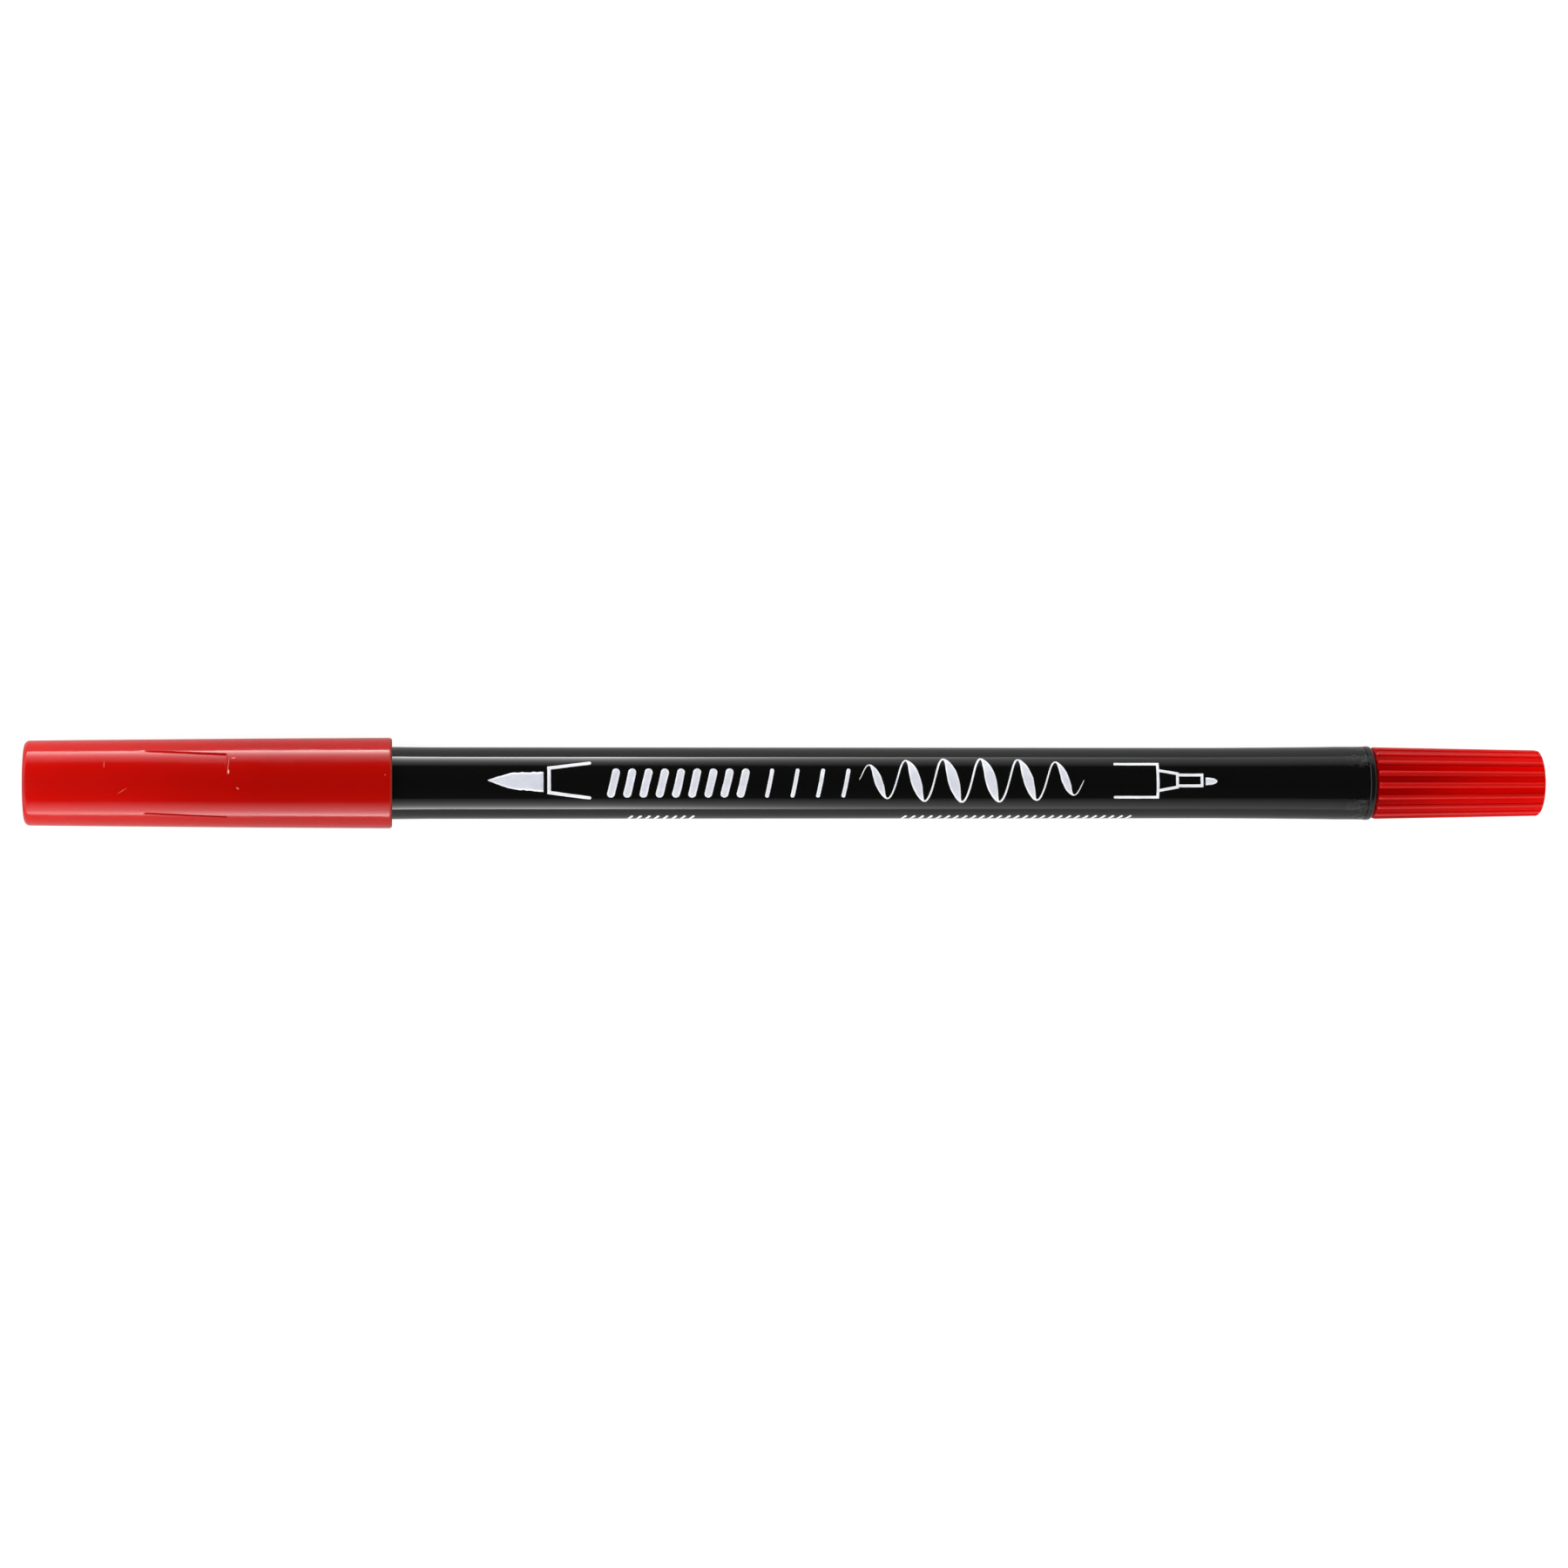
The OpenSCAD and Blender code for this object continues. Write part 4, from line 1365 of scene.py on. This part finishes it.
@dataclass
class LongCapShell:
    """The long cap's shell, remade as one fine surface whose grip notches have crisp walls.

    Sizes are the CAD cap's own, in millimetres and degrees; radii are paired with distances from the
    closed end (near) or from the mouth (far). A column of the surface follows each notch's side wall, so
    that its edge is drawn by a row of points and not across faces.
    """

    near_outline: tuple[tuple[float, float], ...] = (
        (0.0, 0.12),
        (0.58, 0.12),
        (0.7, 0.0),
        (3.96, 0.0),
    )
    end_r: float = 4.56
    end_round: float = 0.6
    waist_r: float = 4.8
    mouth_round: float = 0.3
    far_bore: tuple[tuple[float, float], ...] = ((4.2, 0.0), (4.0, 0.2), (4.0, 7.4), (3.85, 7.7))
    near_bore: tuple[tuple[float, float], ...] = ((3.62, 1.9), (3.22, 1.5), (0.0, 1.5))
    notches: int = 4
    wall_from_end: float = 21.6
    waist_past_wall: float = 3.5
    notch_l: float = 8.8
    notch_w: float = 2.0
    tilt: float = 1.2
    tilt_to: float = -50.0
    side_at: float = 38.6
    slant: float = 3.5
    crease: float = 0.11
    crease_w: float = 0.03
    wall_w: float = 0.28
    end_wall_w: float = 0.06

    def __post_init__(self) -> None:
        """Takes the closed end, the mouth and its radius from the frame."""
        low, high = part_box("brush_cap")
        self.end_x, self.mouth_x, self.mouth_r = low.x / MM, high.x / MM, high.z / MM
        self.wall_x = self.end_x + self.wall_from_end
        self.start_x = self.wall_x - self.notch_l
        self.wall_r = float(self.cone(self.wall_x))
        self.slope = math.tan(math.radians(self.slant))

    def cone(self, x: Any) -> np.ndarray:
        """Outer radius between the roundings, without notches."""
        stations = [
            self.end_x + self.end_round,
            self.wall_x + self.waist_past_wall,
            self.mouth_x - self.mouth_round,
        ]
        return np.interp(x, stations, [self.end_r, self.waist_r, self.mouth_r])

    def outline(self) -> np.ndarray:
        """Rows of the surface as (radius, x): out over the closed end, to the mouth, and back in the bore.

        Rows are 0.15 mm apart in the notches and down to 0.01 mm at their end walls.
        """
        turn = np.radians(np.linspace(0, 90, 9))
        end_x, mouth_x = self.end_x, self.mouth_x
        near = crisp_profile([(r, end_x + d) for r, d in self.near_outline])
        closed_r = self.end_r - self.end_round * (1 - np.sin(turn))
        closed_x = end_x + self.end_round * (1 - np.cos(turn))
        fine = np.array([0.01, 0.02, 0.03, 0.045, 0.07, 0.11, 0.2, 0.35])
        x = np.concatenate(
            [
                np.linspace(end_x + self.end_round, self.start_x, 24)[1:],
                np.linspace(self.start_x, self.wall_x, 60),
                self.wall_x - fine,
                self.wall_x + fine,
                np.linspace(self.wall_x, mouth_x - self.mouth_round, 32)[:-1],
            ]
        )
        x = np.unique(x.round(6))
        mouth_r = self.mouth_r - self.mouth_round * (1 - np.cos(turn))
        rim_x = mouth_x - self.mouth_round * (1 - np.sin(turn))
        bore = [(r, mouth_x - d) for r, d in self.far_bore]
        bore += [(r, end_x + d) for r, d in self.near_bore]
        return np.concatenate(
            [
                near,
                np.stack([closed_r, closed_x], axis=1)[1:],
                np.stack([self.cone(x), x], axis=1),
                np.stack([mouth_r, rim_x], axis=1),
                crisp_profile(bore),
            ]
        )

    def steps(self) -> np.ndarray:
        """Arc lengths of one notch's columns from its side wall's foot, dense at the wall."""
        reach = np.pi / self.notches * self.wall_r
        dense = [-0.1, -0.05, -0.035, -0.03, -0.025, -0.005, 0.0, 0.005, 0.02, 0.05, 0.09]
        dense += [0.14, 0.2, self.wall_w - 0.01, self.wall_w, self.wall_w + 0.01, 0.33]
        return np.concatenate(
            [np.linspace(-reach, -0.16, 40), dense, np.linspace(0.4, reach, 34)[:-1]]
        )

    def depth(self, x: np.ndarray, angle: np.ndarray, t: np.ndarray) -> np.ndarray:
        """How far the surface lies under the cone.

        With u the distance past the run-out, the floor is a cylinder that leans away, so that it lies
        deeper by cone(x) - cone(start) - u tan(tilt) cos(angle - tilt_to). The crease adds a fall over
        crease_w before the wall's foot, and from the foot the wall rises to the cone over wall_w. At the
        end wall all of it ends.

        Args:
            x: x of the points.
            angle: their angles from straight up, within the first notch's quarter.
            t: their arc lengths from the side wall's foot.

        Returns:
            Depths in millimetres.
        """
        u = np.clip(x - self.start_x, 0, self.notch_l)
        lean = u * math.tan(math.radians(self.tilt))
        rise = self.cone(np.clip(x, self.start_x, self.wall_x)) - self.cone(self.start_x)
        floor = np.clip(rise - lean * np.cos(angle - math.radians(self.tilt_to)), 0, None)
        crease = self.crease * np.clip(u / 0.4, 0, 1)
        before = floor + crease * np.clip(1 + t / self.crease_w, 0, 1)
        after = (floor + crease) * np.clip(1 - t / self.wall_w, 0, 1)
        end = np.clip((self.end_wall_x(t) - x) / self.end_wall_w, 0, 1)
        return np.where(t <= 0, before, after) * end * (u > 0)

    def end_wall_x(self, t: np.ndarray) -> np.ndarray:
        """x of the end wall, which slants back from the side wall over the notch's width."""
        far, near = 1.7 * self.notch_w, 1.1 * self.notch_w
        return self.wall_x - self.slope * np.interp(t, [-far, -near, 0], [0, near, 0])

    def build(self) -> bpy.types.Object:
        """Makes the shell: point = (x, r sin a, r cos a), with x, r and a functions of row and column."""
        profile, t = self.outline(), self.steps()
        row_r, row_x = profile[:, :1], profile[:, 1:]
        outside = np.isclose(row_r, self.cone(row_x)) & (row_x > self.end_x + self.end_round)
        nearness = np.clip(1 - np.abs(row_x - self.wall_x) / 1.5, 0, 1)
        x = row_x + nearness * (self.end_wall_x(t) - self.wall_x) * outside
        twist = np.clip(self.wall_x - x, 0, self.notch_l) * self.slope
        angle = math.radians(self.side_at) + (twist + t) / self.wall_r
        radius = np.where(outside, self.cone(x) - self.depth(x, angle, t), row_r)
        turns = 2 * np.pi / self.notches * np.arange(self.notches)
        points = np.concatenate([about_axis(x, radius, angle + turn) for turn in turns], axis=1)
        on_wall = np.isclose(profile[:, 1], self.wall_x) & (profile[:, 0] > self.end_r)
        in_notch = np.tile((t <= 0) & (t >= -self.notch_w), self.notches)
        self.end_wall = points[on_wall][:, in_notch].reshape(-1, 3) * MM
        piece = mesh_piece("brush_cap_shell", points)
        stand_in(piece, "brush_cap", Body.LONG_CAP)
        return piece


@dataclass
class ShortCapShell:
    """The short cap's shell, remade as one fine surface with crisp round ribs.

    Sizes are the CAD cap's own, in millimetres and degrees. Columns follow both edges of each rib, so
    that an edge is drawn by a row of points and not across faces.
    """

    ribs: int = 18
    first_rib_at: float = -3.7
    rib_h: float = 0.17
    rib_r: tuple[float, float] = (0.38, 0.3)
    rib_start: float = 0.05
    top_r: tuple[float, float] = (3.965, 3.63)
    edge: float = 0.45
    dome_h: float = 0.25
    mouth_chamfer: float = 0.1
    bore: tuple[tuple[float, float], ...] = (
        (3.26, 0.0),
        (3.11, 0.15),
        (3.11, 4.55),
        (2.65, 4.85),
        (2.45, 17.95),
        (0.0, 17.95),
    )

    def __post_init__(self) -> None:
        """Takes the mouth and the closed end from the frame."""
        low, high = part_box("fine_cap")
        self.mouth_x, self.end_x = low.x / MM, high.x / MM
        self.rib_x = self.mouth_x + self.rib_start + self.rib_r[0]

    def valley(self, x: np.ndarray) -> np.ndarray:
        """Radius of the wall between ribs, with the chamfer at the mouth."""
        near, far = (r - self.rib_h for r in self.top_r)
        stations = [self.mouth_x, self.mouth_x + self.mouth_chamfer, self.end_x]
        return np.interp(x, stations, [near - self.mouth_chamfer, near, far])

    def rib(self, x: np.ndarray) -> tuple[np.ndarray, np.ndarray]:
        """How far a rib's middle line is from the axis, and the rib's radius there; it starts as a ball."""
        along = np.clip(x - self.rib_x, 0, None) / (self.end_x - self.mouth_x)
        radius = self.rib_r[0] + (self.rib_r[1] - self.rib_r[0]) * along
        top = self.top_r[0] + (self.top_r[1] - self.top_r[0]) * along
        before = np.clip(self.rib_x - x, 0, None)
        return top - radius, np.sqrt(np.clip(radius**2 - before**2, 1e-6, None))

    def outline(self) -> tuple[np.ndarray, np.ndarray]:
        """Rows as (greatest radius, x), and True for those of the outside."""
        turn = np.radians(np.linspace(15, 80, 12))
        end_r, corner_r = self.top_r[1] - self.edge, self.edge + 0.02
        dome_r = (end_r**2 + self.dome_h**2) / 2 / self.dome_h
        fall = np.linspace(1, 0, 18) * math.asin(end_r / dome_r)
        corner_x = self.end_x - self.dome_h - self.edge
        ball = self.rib_r[0] * (1 - np.cos(np.radians(np.linspace(5, 90, 16))))
        x = np.concatenate(
            [
                self.mouth_x + np.array([0, 0.015, 0.085, self.mouth_chamfer, 0.13]),
                self.mouth_x + self.rib_start + ball,
                np.linspace(self.rib_x, corner_x + 0.1, 60)[1:],
            ]
        )
        unbound = np.full_like(x, self.top_r[0] + 1)
        corner = [end_r + corner_r * np.cos(turn), corner_x + corner_r * np.sin(turn)]
        dome = [dome_r * np.sin(fall), self.end_x - dome_r * (1 - np.cos(fall))]
        inside = crisp_profile([(r, self.mouth_x + d) for r, d in self.bore])[::-1]
        outside = np.concatenate([[unbound, x], corner, np.array(dome)[:, 1:]], axis=1).T
        rows = np.concatenate([inside, outside])
        return rows, np.arange(len(rows)) >= len(inside)

    def build(self) -> bpy.types.Object:
        """Makes the shell: point = (x, r sin a, r cos a), r the greater of the wall and the nearest rib.

        At an angle d from a rib's middle, a rib of radius p whose middle line lies at c reaches
        c cos d + sqrt(p^2 - c^2 sin^2 d), and its edge lies where that equals the wall's radius v, at
        cos d = (c^2 + v^2 - p^2) / (2 c v).
        """
        profile, outside = self.outline()
        limit, x = profile[:, :1], profile[:, 1:]
        (middle, radius), wall = self.rib(x), self.valley(x)
        cosine = (middle**2 + wall**2 - radius**2) / (2 * middle * wall)
        pitch = 2 * np.pi / self.ribs
        edge = np.clip(np.arccos(np.clip(cosine, -1, 1)), 0.01, 0.45 * pitch)
        half_rib = np.array([0.22, 0.45, 0.68, 0.85, 0.96, 1])
        on_rib = np.concatenate([-half_rib[::-1], [0], half_rib])
        in_valley = np.array([0.06, 0.2, 0.5, 0.8, 0.94])
        offset = np.concatenate(
            [on_rib * edge, edge + in_valley * (pitch - 2 * edge)], axis=1
        )
        folded = np.where(offset > pitch / 2, offset - pitch, offset)
        under = radius**2 - (middle * np.sin(folded)) ** 2
        reach = middle * np.cos(folded) + np.sqrt(np.clip(under, 0, None))
        back = np.where(under > 0, reach, 0)
        outer = np.minimum(np.maximum(back, wall), limit)
        r = np.where(outside[:, None], outer, limit)
        first = offset + math.radians(self.first_rib_at)
        grid = [about_axis(x, r, first + pitch * rib) for rib in range(self.ribs)]
        piece = mesh_piece("fine_cap_shell", np.concatenate(grid, axis=1))
        stand_in(piece, "fine_cap", Body.SHORT_CAP)
        return piece


@dataclass
class Caps:
    """Both red caps and their liners.

    Args:
        nodes: the CAD nodes by name.
        view: the photograph's view.
        shell: the long cap.
        ribbed_shell: the short cap.
        liner: finish of both liners.
        shade_full_mm: distance from the long cap's closed end at which its painted shade is full.
        scratches_and_glints: length, width, turn and strength of each mark, by its image point; those at
            the notch's end wall are painted glints.
    """

    nodes: Mapping[str, bpy.types.Object]
    view: View
    shell: LongCapShell = field(default_factory=LongCapShell)
    ribbed_shell: ShortCapShell = field(default_factory=ShortCapShell)
    liner: LinerPlastic = LinerPlastic("polyethylene_moulded_natural", "#D9CDA8", 0.4, 1.51)
    shade_full_mm: float = 25.0
    scratches_and_glints: Mapping[str, tuple[float, float, float, float]] = field(
        default_factory=lambda: {
            "mark_near_end": (0.8, 0.1, 88.0, 0.25),
            "mark_scratch": (1.4, 0.1, 32.0, 0.2),
            "mark_past_notch": (0.42, 0.11, -35.0, 0.55),
            "mark_at_mouth": (0.16, 0.12, 0.0, 0.4),
            # painted glint: the bright speck at the foot of the notch's end wall
            "mark_at_notch": (0.5, 0.17, 88.0, 1.0),
            # painted reflection: the faint light line along the notch's end wall
            "notch_end": (2.2, 0.09, 84.0, 0.3),
            "mark_at_corner": (0.6, 0.14, 10.0, 0.4),
        }
    )

    def dress(self) -> None:
        """Makes both caps' shells and gives both caps and both liners their finish."""
        self.long_cap = self.shell.build()
        self.short_cap = self.ribbed_shell.build()
        skin = surface_tree([self.long_cap])
        long_finish = CapPlastic(
            "polypropylene_moulded_red_long_cap",
            "#C90C06",
            0.14,
            1.47,
            0.45,
            # painted shade: the long cap darkens away from its closed end
            shade_x_mm=(self.shell.end_x, self.shell.end_x + self.shade_full_mm),
            rim_x_mm=self.shell.mouth_x,
            placed=tuple(
                Mark(self.view.place(name, skin), *size) for name, size in self.scratches_and_glints.items()
            ),
        )
        mouth_x, end_x = self.ribbed_shell.mouth_x, self.ribbed_shell.end_x
        short_finish = CapPlastic(
            "polypropylene_moulded_red_short_cap",
            "#CD140E",
            0.12,
            1.47,
            0.32,
            # painted shade: the short cap darkens from its closed end towards its mouth
            painted_shade_colour="#B2110D",
            shade_x_mm=(end_x, mouth_x),
            ribs=RibLine((mouth_x, end_x), self.ribbed_shell.top_r, self.ribbed_shell.rib_h),
        )
        long_finish.dress(self.long_cap, self.nodes["brush_cap"])
        short_finish.dress(self.short_cap, self.nodes["fine_cap"])
        self.liner.dress(self.nodes["brush_cap_liner"], self.nodes["fine_cap_liner"])
        LOG.info("caps and liners dressed")


# ---------------------------------------------------------------- studio


def sheet(
    name: str, corners_mm: Sequence[Sequence[float]], material: bpy.types.Material
) -> bpy.types.Object:
    """Makes a flat rectangle of the studio through four corners."""
    mesh = bpy.data.meshes.new(name)
    mesh.from_pydata([Vector(corner) * MM for corner in corners_mm], [], [(0, 1, 2, 3)])
    mesh.materials.append(material)
    made = bpy.data.objects.new(name, mesh)
    bpy.context.scene.collection.objects.link(made)
    made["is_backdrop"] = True
    return made


@dataclass(frozen=True)
class StripLight:
    """An upright strip of light beside the marker, which adds to the room's glow behind it.

    Its brightness is b * exp(-(z - low) / height_fall - (x - start) / end_fall), with the second part
    only past each end of the bright stretch.

    Args:
        name: the strip's name.
        y_mm: its distance from the marker's axis, with its side.
        bright: strength at its foot.
        height_fall_mm: rise over which it falls to a third.
        x_mm: the ends of its bright stretch.
        end_fall_mm: the same fall past its left and its right end.
        z_mm: its foot and its top.
        reach_mm: its left and its right end.
    """

    name: str
    y_mm: float
    bright: float
    height_fall_mm: float
    x_mm: tuple[float, float] = (-50.0, 0.0)
    end_fall_mm: tuple[float, float] = (150.0, 38.0)
    z_mm: tuple[float, float] = (-17.0, 220.0)
    reach_mm: tuple[float, float] = (-330.0, 200.0)

    def build(self) -> None:
        """Makes the strip, which neither the camera nor a shadow shows."""
        (left, right), (low, high), y = self.reach_mm, self.z_mm, self.y_mm
        corners = [(left, y, low), (right, y, low), (right, y, high), (left, y, high)]
        strip = sheet(self.name, corners, self.material())
        strip.visible_camera = False
        strip.visible_shadow = False

    def material(self) -> bpy.types.Material:
        """The strip's light, laid over what lies behind it."""
        made = bpy.data.materials.new(self.name)
        tree = blank_tree(made)
        place = add(tree, "TexCoord", out="Object")
        split = add(tree, "SeparateXYZ", (place,)).node.outputs
        total: Any = 0.0
        for way, start, end, fall in (
            ("Z", *self.z_mm, self.height_fall_mm),
            ("X", self.x_mm[1], self.reach_mm[1], self.end_fall_mm[1]),
            ("X", self.x_mm[0], self.reach_mm[0], self.end_fall_mm[0]),
        ):
            falls = (split[way], start * MM, end * MM, 0.0, abs(end - start) / fall)
            total = add(tree, "Math", (total, add(tree, "MapRange", falls)), operation="ADD")
        share = add(tree, "Math", (math.exp(-1), total), operation="POWER")
        strength = add(tree, "Math", (share, self.bright), operation="MULTIPLY")
        light = add(tree, "Emission", {"Strength": strength})
        both = add(tree, "AddShader", (light, add(tree, "BsdfTransparent")))
        add(tree, "OutputMaterial", {"Surface": both})
        return made


@dataclass(frozen=True)
class TableTop(Finish):
    """Matt painted board, mid grey, that shows as the photograph's white ground and keeps the shadow.

    The lift is light of its own that only some rays see, so it lights nothing.
    """

    camera_lift: float = 0.76
    gloss_lift: float = 0.18

    def glow(self, tree: NodeTree, shader: NodeSocket) -> NodeSocket:
        """The lift, by Light Path."""
        gloss = add(tree, "LightPath", out="Is Glossy Ray")
        parts = [
            add(tree, "Math", (rays, lift), operation="MULTIPLY")
            for rays, lift in ((seen(tree), self.camera_lift), (gloss, self.gloss_lift))
        ]
        light = add(tree, "Emission", {"Strength": add(tree, "Math", parts, operation="ADD")})
        return add(tree, "AddShader", (shader, light))


@dataclass(frozen=True)
class SoftBox:
    """A square area lamp that faces the marker's middle and that no gloss shows."""

    name: str
    place_mm: tuple[float, float, float]
    watts: float
    size_mm: float = 500.0

    def build(self) -> None:
        """Makes the lamp."""
        data = bpy.data.lights.new(self.name, "AREA")
        data.shape = "SQUARE"
        data.size = self.size_mm * MM
        data.energy = self.watts
        lamp = bpy.data.objects.new(self.name, data)
        lamp.location = Vector(self.place_mm) * MM
        lamp.rotation_euler = (-lamp.location).to_track_quat("-Z", "Y").to_euler()
        lamp.visible_glossy = False
        bpy.context.scene.collection.objects.link(lamp)


@dataclass
class Studio:
    """A pale table top, a pale room that is dark overhead, two low strips of light and four soft boxes.

    The barrel's gloss tells where the light is: a soft glow all round the horizon up to about 31 degrees,
    much brighter low down beside the marker's left half, nothing overhead, and the table beneath. The
    soft boxes stand for the light from overhead that its gloss doesn't show, so they light it and aren't
    mirrored.

    Args:
        floor_mm: height of the table top.
        floor_half_mm: half its length and width.
        board: its finish.
        glow: strength of the room's glow at the horizon, on the left.
        levels: share of the glow by the sine of the elevation, with a sharp edge at 31 degrees.
        right_share: share of the glow on the right.
        right_from: how far to the right the glow starts to weaken and is at that share.
        near_side_taller: how much higher the glow reaches on the near side.
        lamps: the soft boxes.
        strips: the strips of light.
    """

    floor_mm: float
    floor_half_mm: tuple[float, float] = (420.0, 150.0)
    board: TableTop = TableTop("painted_board_matt", "#AAAAA9", 0.9, 1.45, 0.1)
    glow: float = 1.5
    levels: tuple[tuple[float, float], ...] = (
        (0.0, 1.0),
        (0.15, 0.92),
        (0.28, 0.8),
        (0.39, 0.55),
        (0.5, 0.28),
        (0.52, 0.25),
        (0.545, 0.02),
        (1.0, 0.01),
    )
    right_share: float = 0.6
    right_from: tuple[float, float] = (0.05, 0.25)
    near_side_taller: float = 0.11
    lamps: tuple[SoftBox, ...] = (
        SoftBox("soft_box_left", (-380.0, 0.0, 420.0), 1.55),
        SoftBox("soft_box_right", (400.0, 0.0, 400.0), 1.14),
        SoftBox("soft_box_far", (0.0, 360.0, 110.0), 0.73, 200.0),
        SoftBox("soft_box_near", (0.0, -360.0, 110.0), 0.73, 200.0),
    )
    strips: tuple[StripLight, ...] = (
        StripLight("strip_light_far", 400.0, 19.0, 46.0),
        StripLight("strip_light_near", -400.0, 11.0, 55.0),
    )

    def floor(self) -> None:
        """The table top."""
        (x, y), z = self.floor_half_mm, self.floor_mm
        corners = [(-x, -y, z), (x, -y, z), (x, y, z), (-x, y, z)]
        sheet("table_top", corners, self.board.material())

    def room(self) -> None:
        """The room: its glow, and plain white where the camera itself sees past the table."""
        world = bpy.data.worlds.new("pale_room")
        bpy.context.scene.world = world
        tree = blank_tree(world)
        way = add(tree, "TexCoord", out="Generated")
        split = add(tree, "SeparateXYZ", (way,)).node.outputs
        taller = add(tree, "MapRange", (split["Y"], -1.0, 0.0, self.near_side_taller, 0.0))
        up = add(tree, "Math", (split["Z"], taller), operation="SUBTRACT")
        level = add(tree, "ValToRGB", {"Fac": up}, "Color")
        stops = level.node.color_ramp.elements
        while len(stops) < len(self.levels):
            stops.new(0.5)
        for stop, (at, share) in zip(stops, self.levels):
            stop.position = at
            stop.color = (share, share, share, 1)
        across = (split["X"], *self.right_from, self.glow, self.glow * self.right_share)
        strength = add(tree, "MapRange", across)
        light = add(tree, "Background", {"Color": level, "Strength": strength})
        white = add(tree, "Background", {"Color": (1, 1, 1, 1)})
        both = add(tree, "MixShader", (seen(tree), light, white))
        add(tree, "OutputWorld", {"Surface": both})

    def build(self) -> None:
        """Sets the table, the room and the lamps."""
        self.floor()
        self.room()
        for light in (*self.strips, *self.lamps):
            light.build()
        LOG.info("studio built")


# ---------------------------------------------------------------- main


def write_points(view: View, prints: BarrelPrint, caps: Caps) -> None:
    """Works out how far each thing shows from its image point."""
    report = PointReport(view)
    shown = (caps.long_cap, caps.nodes["barrel"], caps.short_cap)
    cap, barrel, ribbed = (finished_mesh(piece)[0] for piece in shown)
    rows = {
        "marker_left": report.off("marker_left", cap, (Edge.LOW, Edge.MIDDLE)),
        "marker_right": report.off("marker_right", ribbed, (Edge.HIGH, Edge.MIDDLE)),
        "marker_top": report.off("marker_top", cap, (Edge.MIDDLE, Edge.LOW)),
        "marker_bottom": report.off("marker_bottom", cap, (Edge.MIDDLE, Edge.HIGH)),
        "long_cap_mouth": report.off("long_cap_mouth", cap, (Edge.HIGH, Edge.MIDDLE)),
        "barrel_seam": report.off("barrel_seam", barrel, (Edge.HIGH, Edge.MIDDLE)),
        "short_cap_mouth": report.off("short_cap_mouth", ribbed, (Edge.LOW, Edge.MIDDLE)),
        "notch_end": report.off("notch_end", caps.shell.end_wall),
    }
    for name, piece in prints.pieces.items():
        if name in IMAGE_POINTS:
            rows[name] = report.off(name, finished_mesh(piece)[0], whole=True)


def main() -> None:
    """Loads the frame, sets the camera, builds and dresses the marker, and works out where its things show.
    """
    logging.basicConfig(level=logging.INFO, format="%(name)s: %(message)s")
    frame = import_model()
    nodes = frame["nodes"]
    cad_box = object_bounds()
    bpy.context.scene.view_settings.view_transform = "Standard"
    view = View(PhotoCamera().create())

    barrel = Barrel(nodes)
    barrel.dress()
    prints = BarrelPrint(Printer(barrel.radius_mm), view, surface_tree([nodes["barrel"]]))
    prints.brush_picture()
    prints.fine_picture()
    prints.practice_strokes()
    InkStore(nodes).dress()
    Nibs(nodes).dress()
    caps = Caps(nodes, view)
    caps.dress()
    Studio(floor_mm=cad_box[0].z / MM).build()

    bpy.context.view_layer.update()
    write_points(view, prints, caps)


if __name__ == "__main__":
    main()
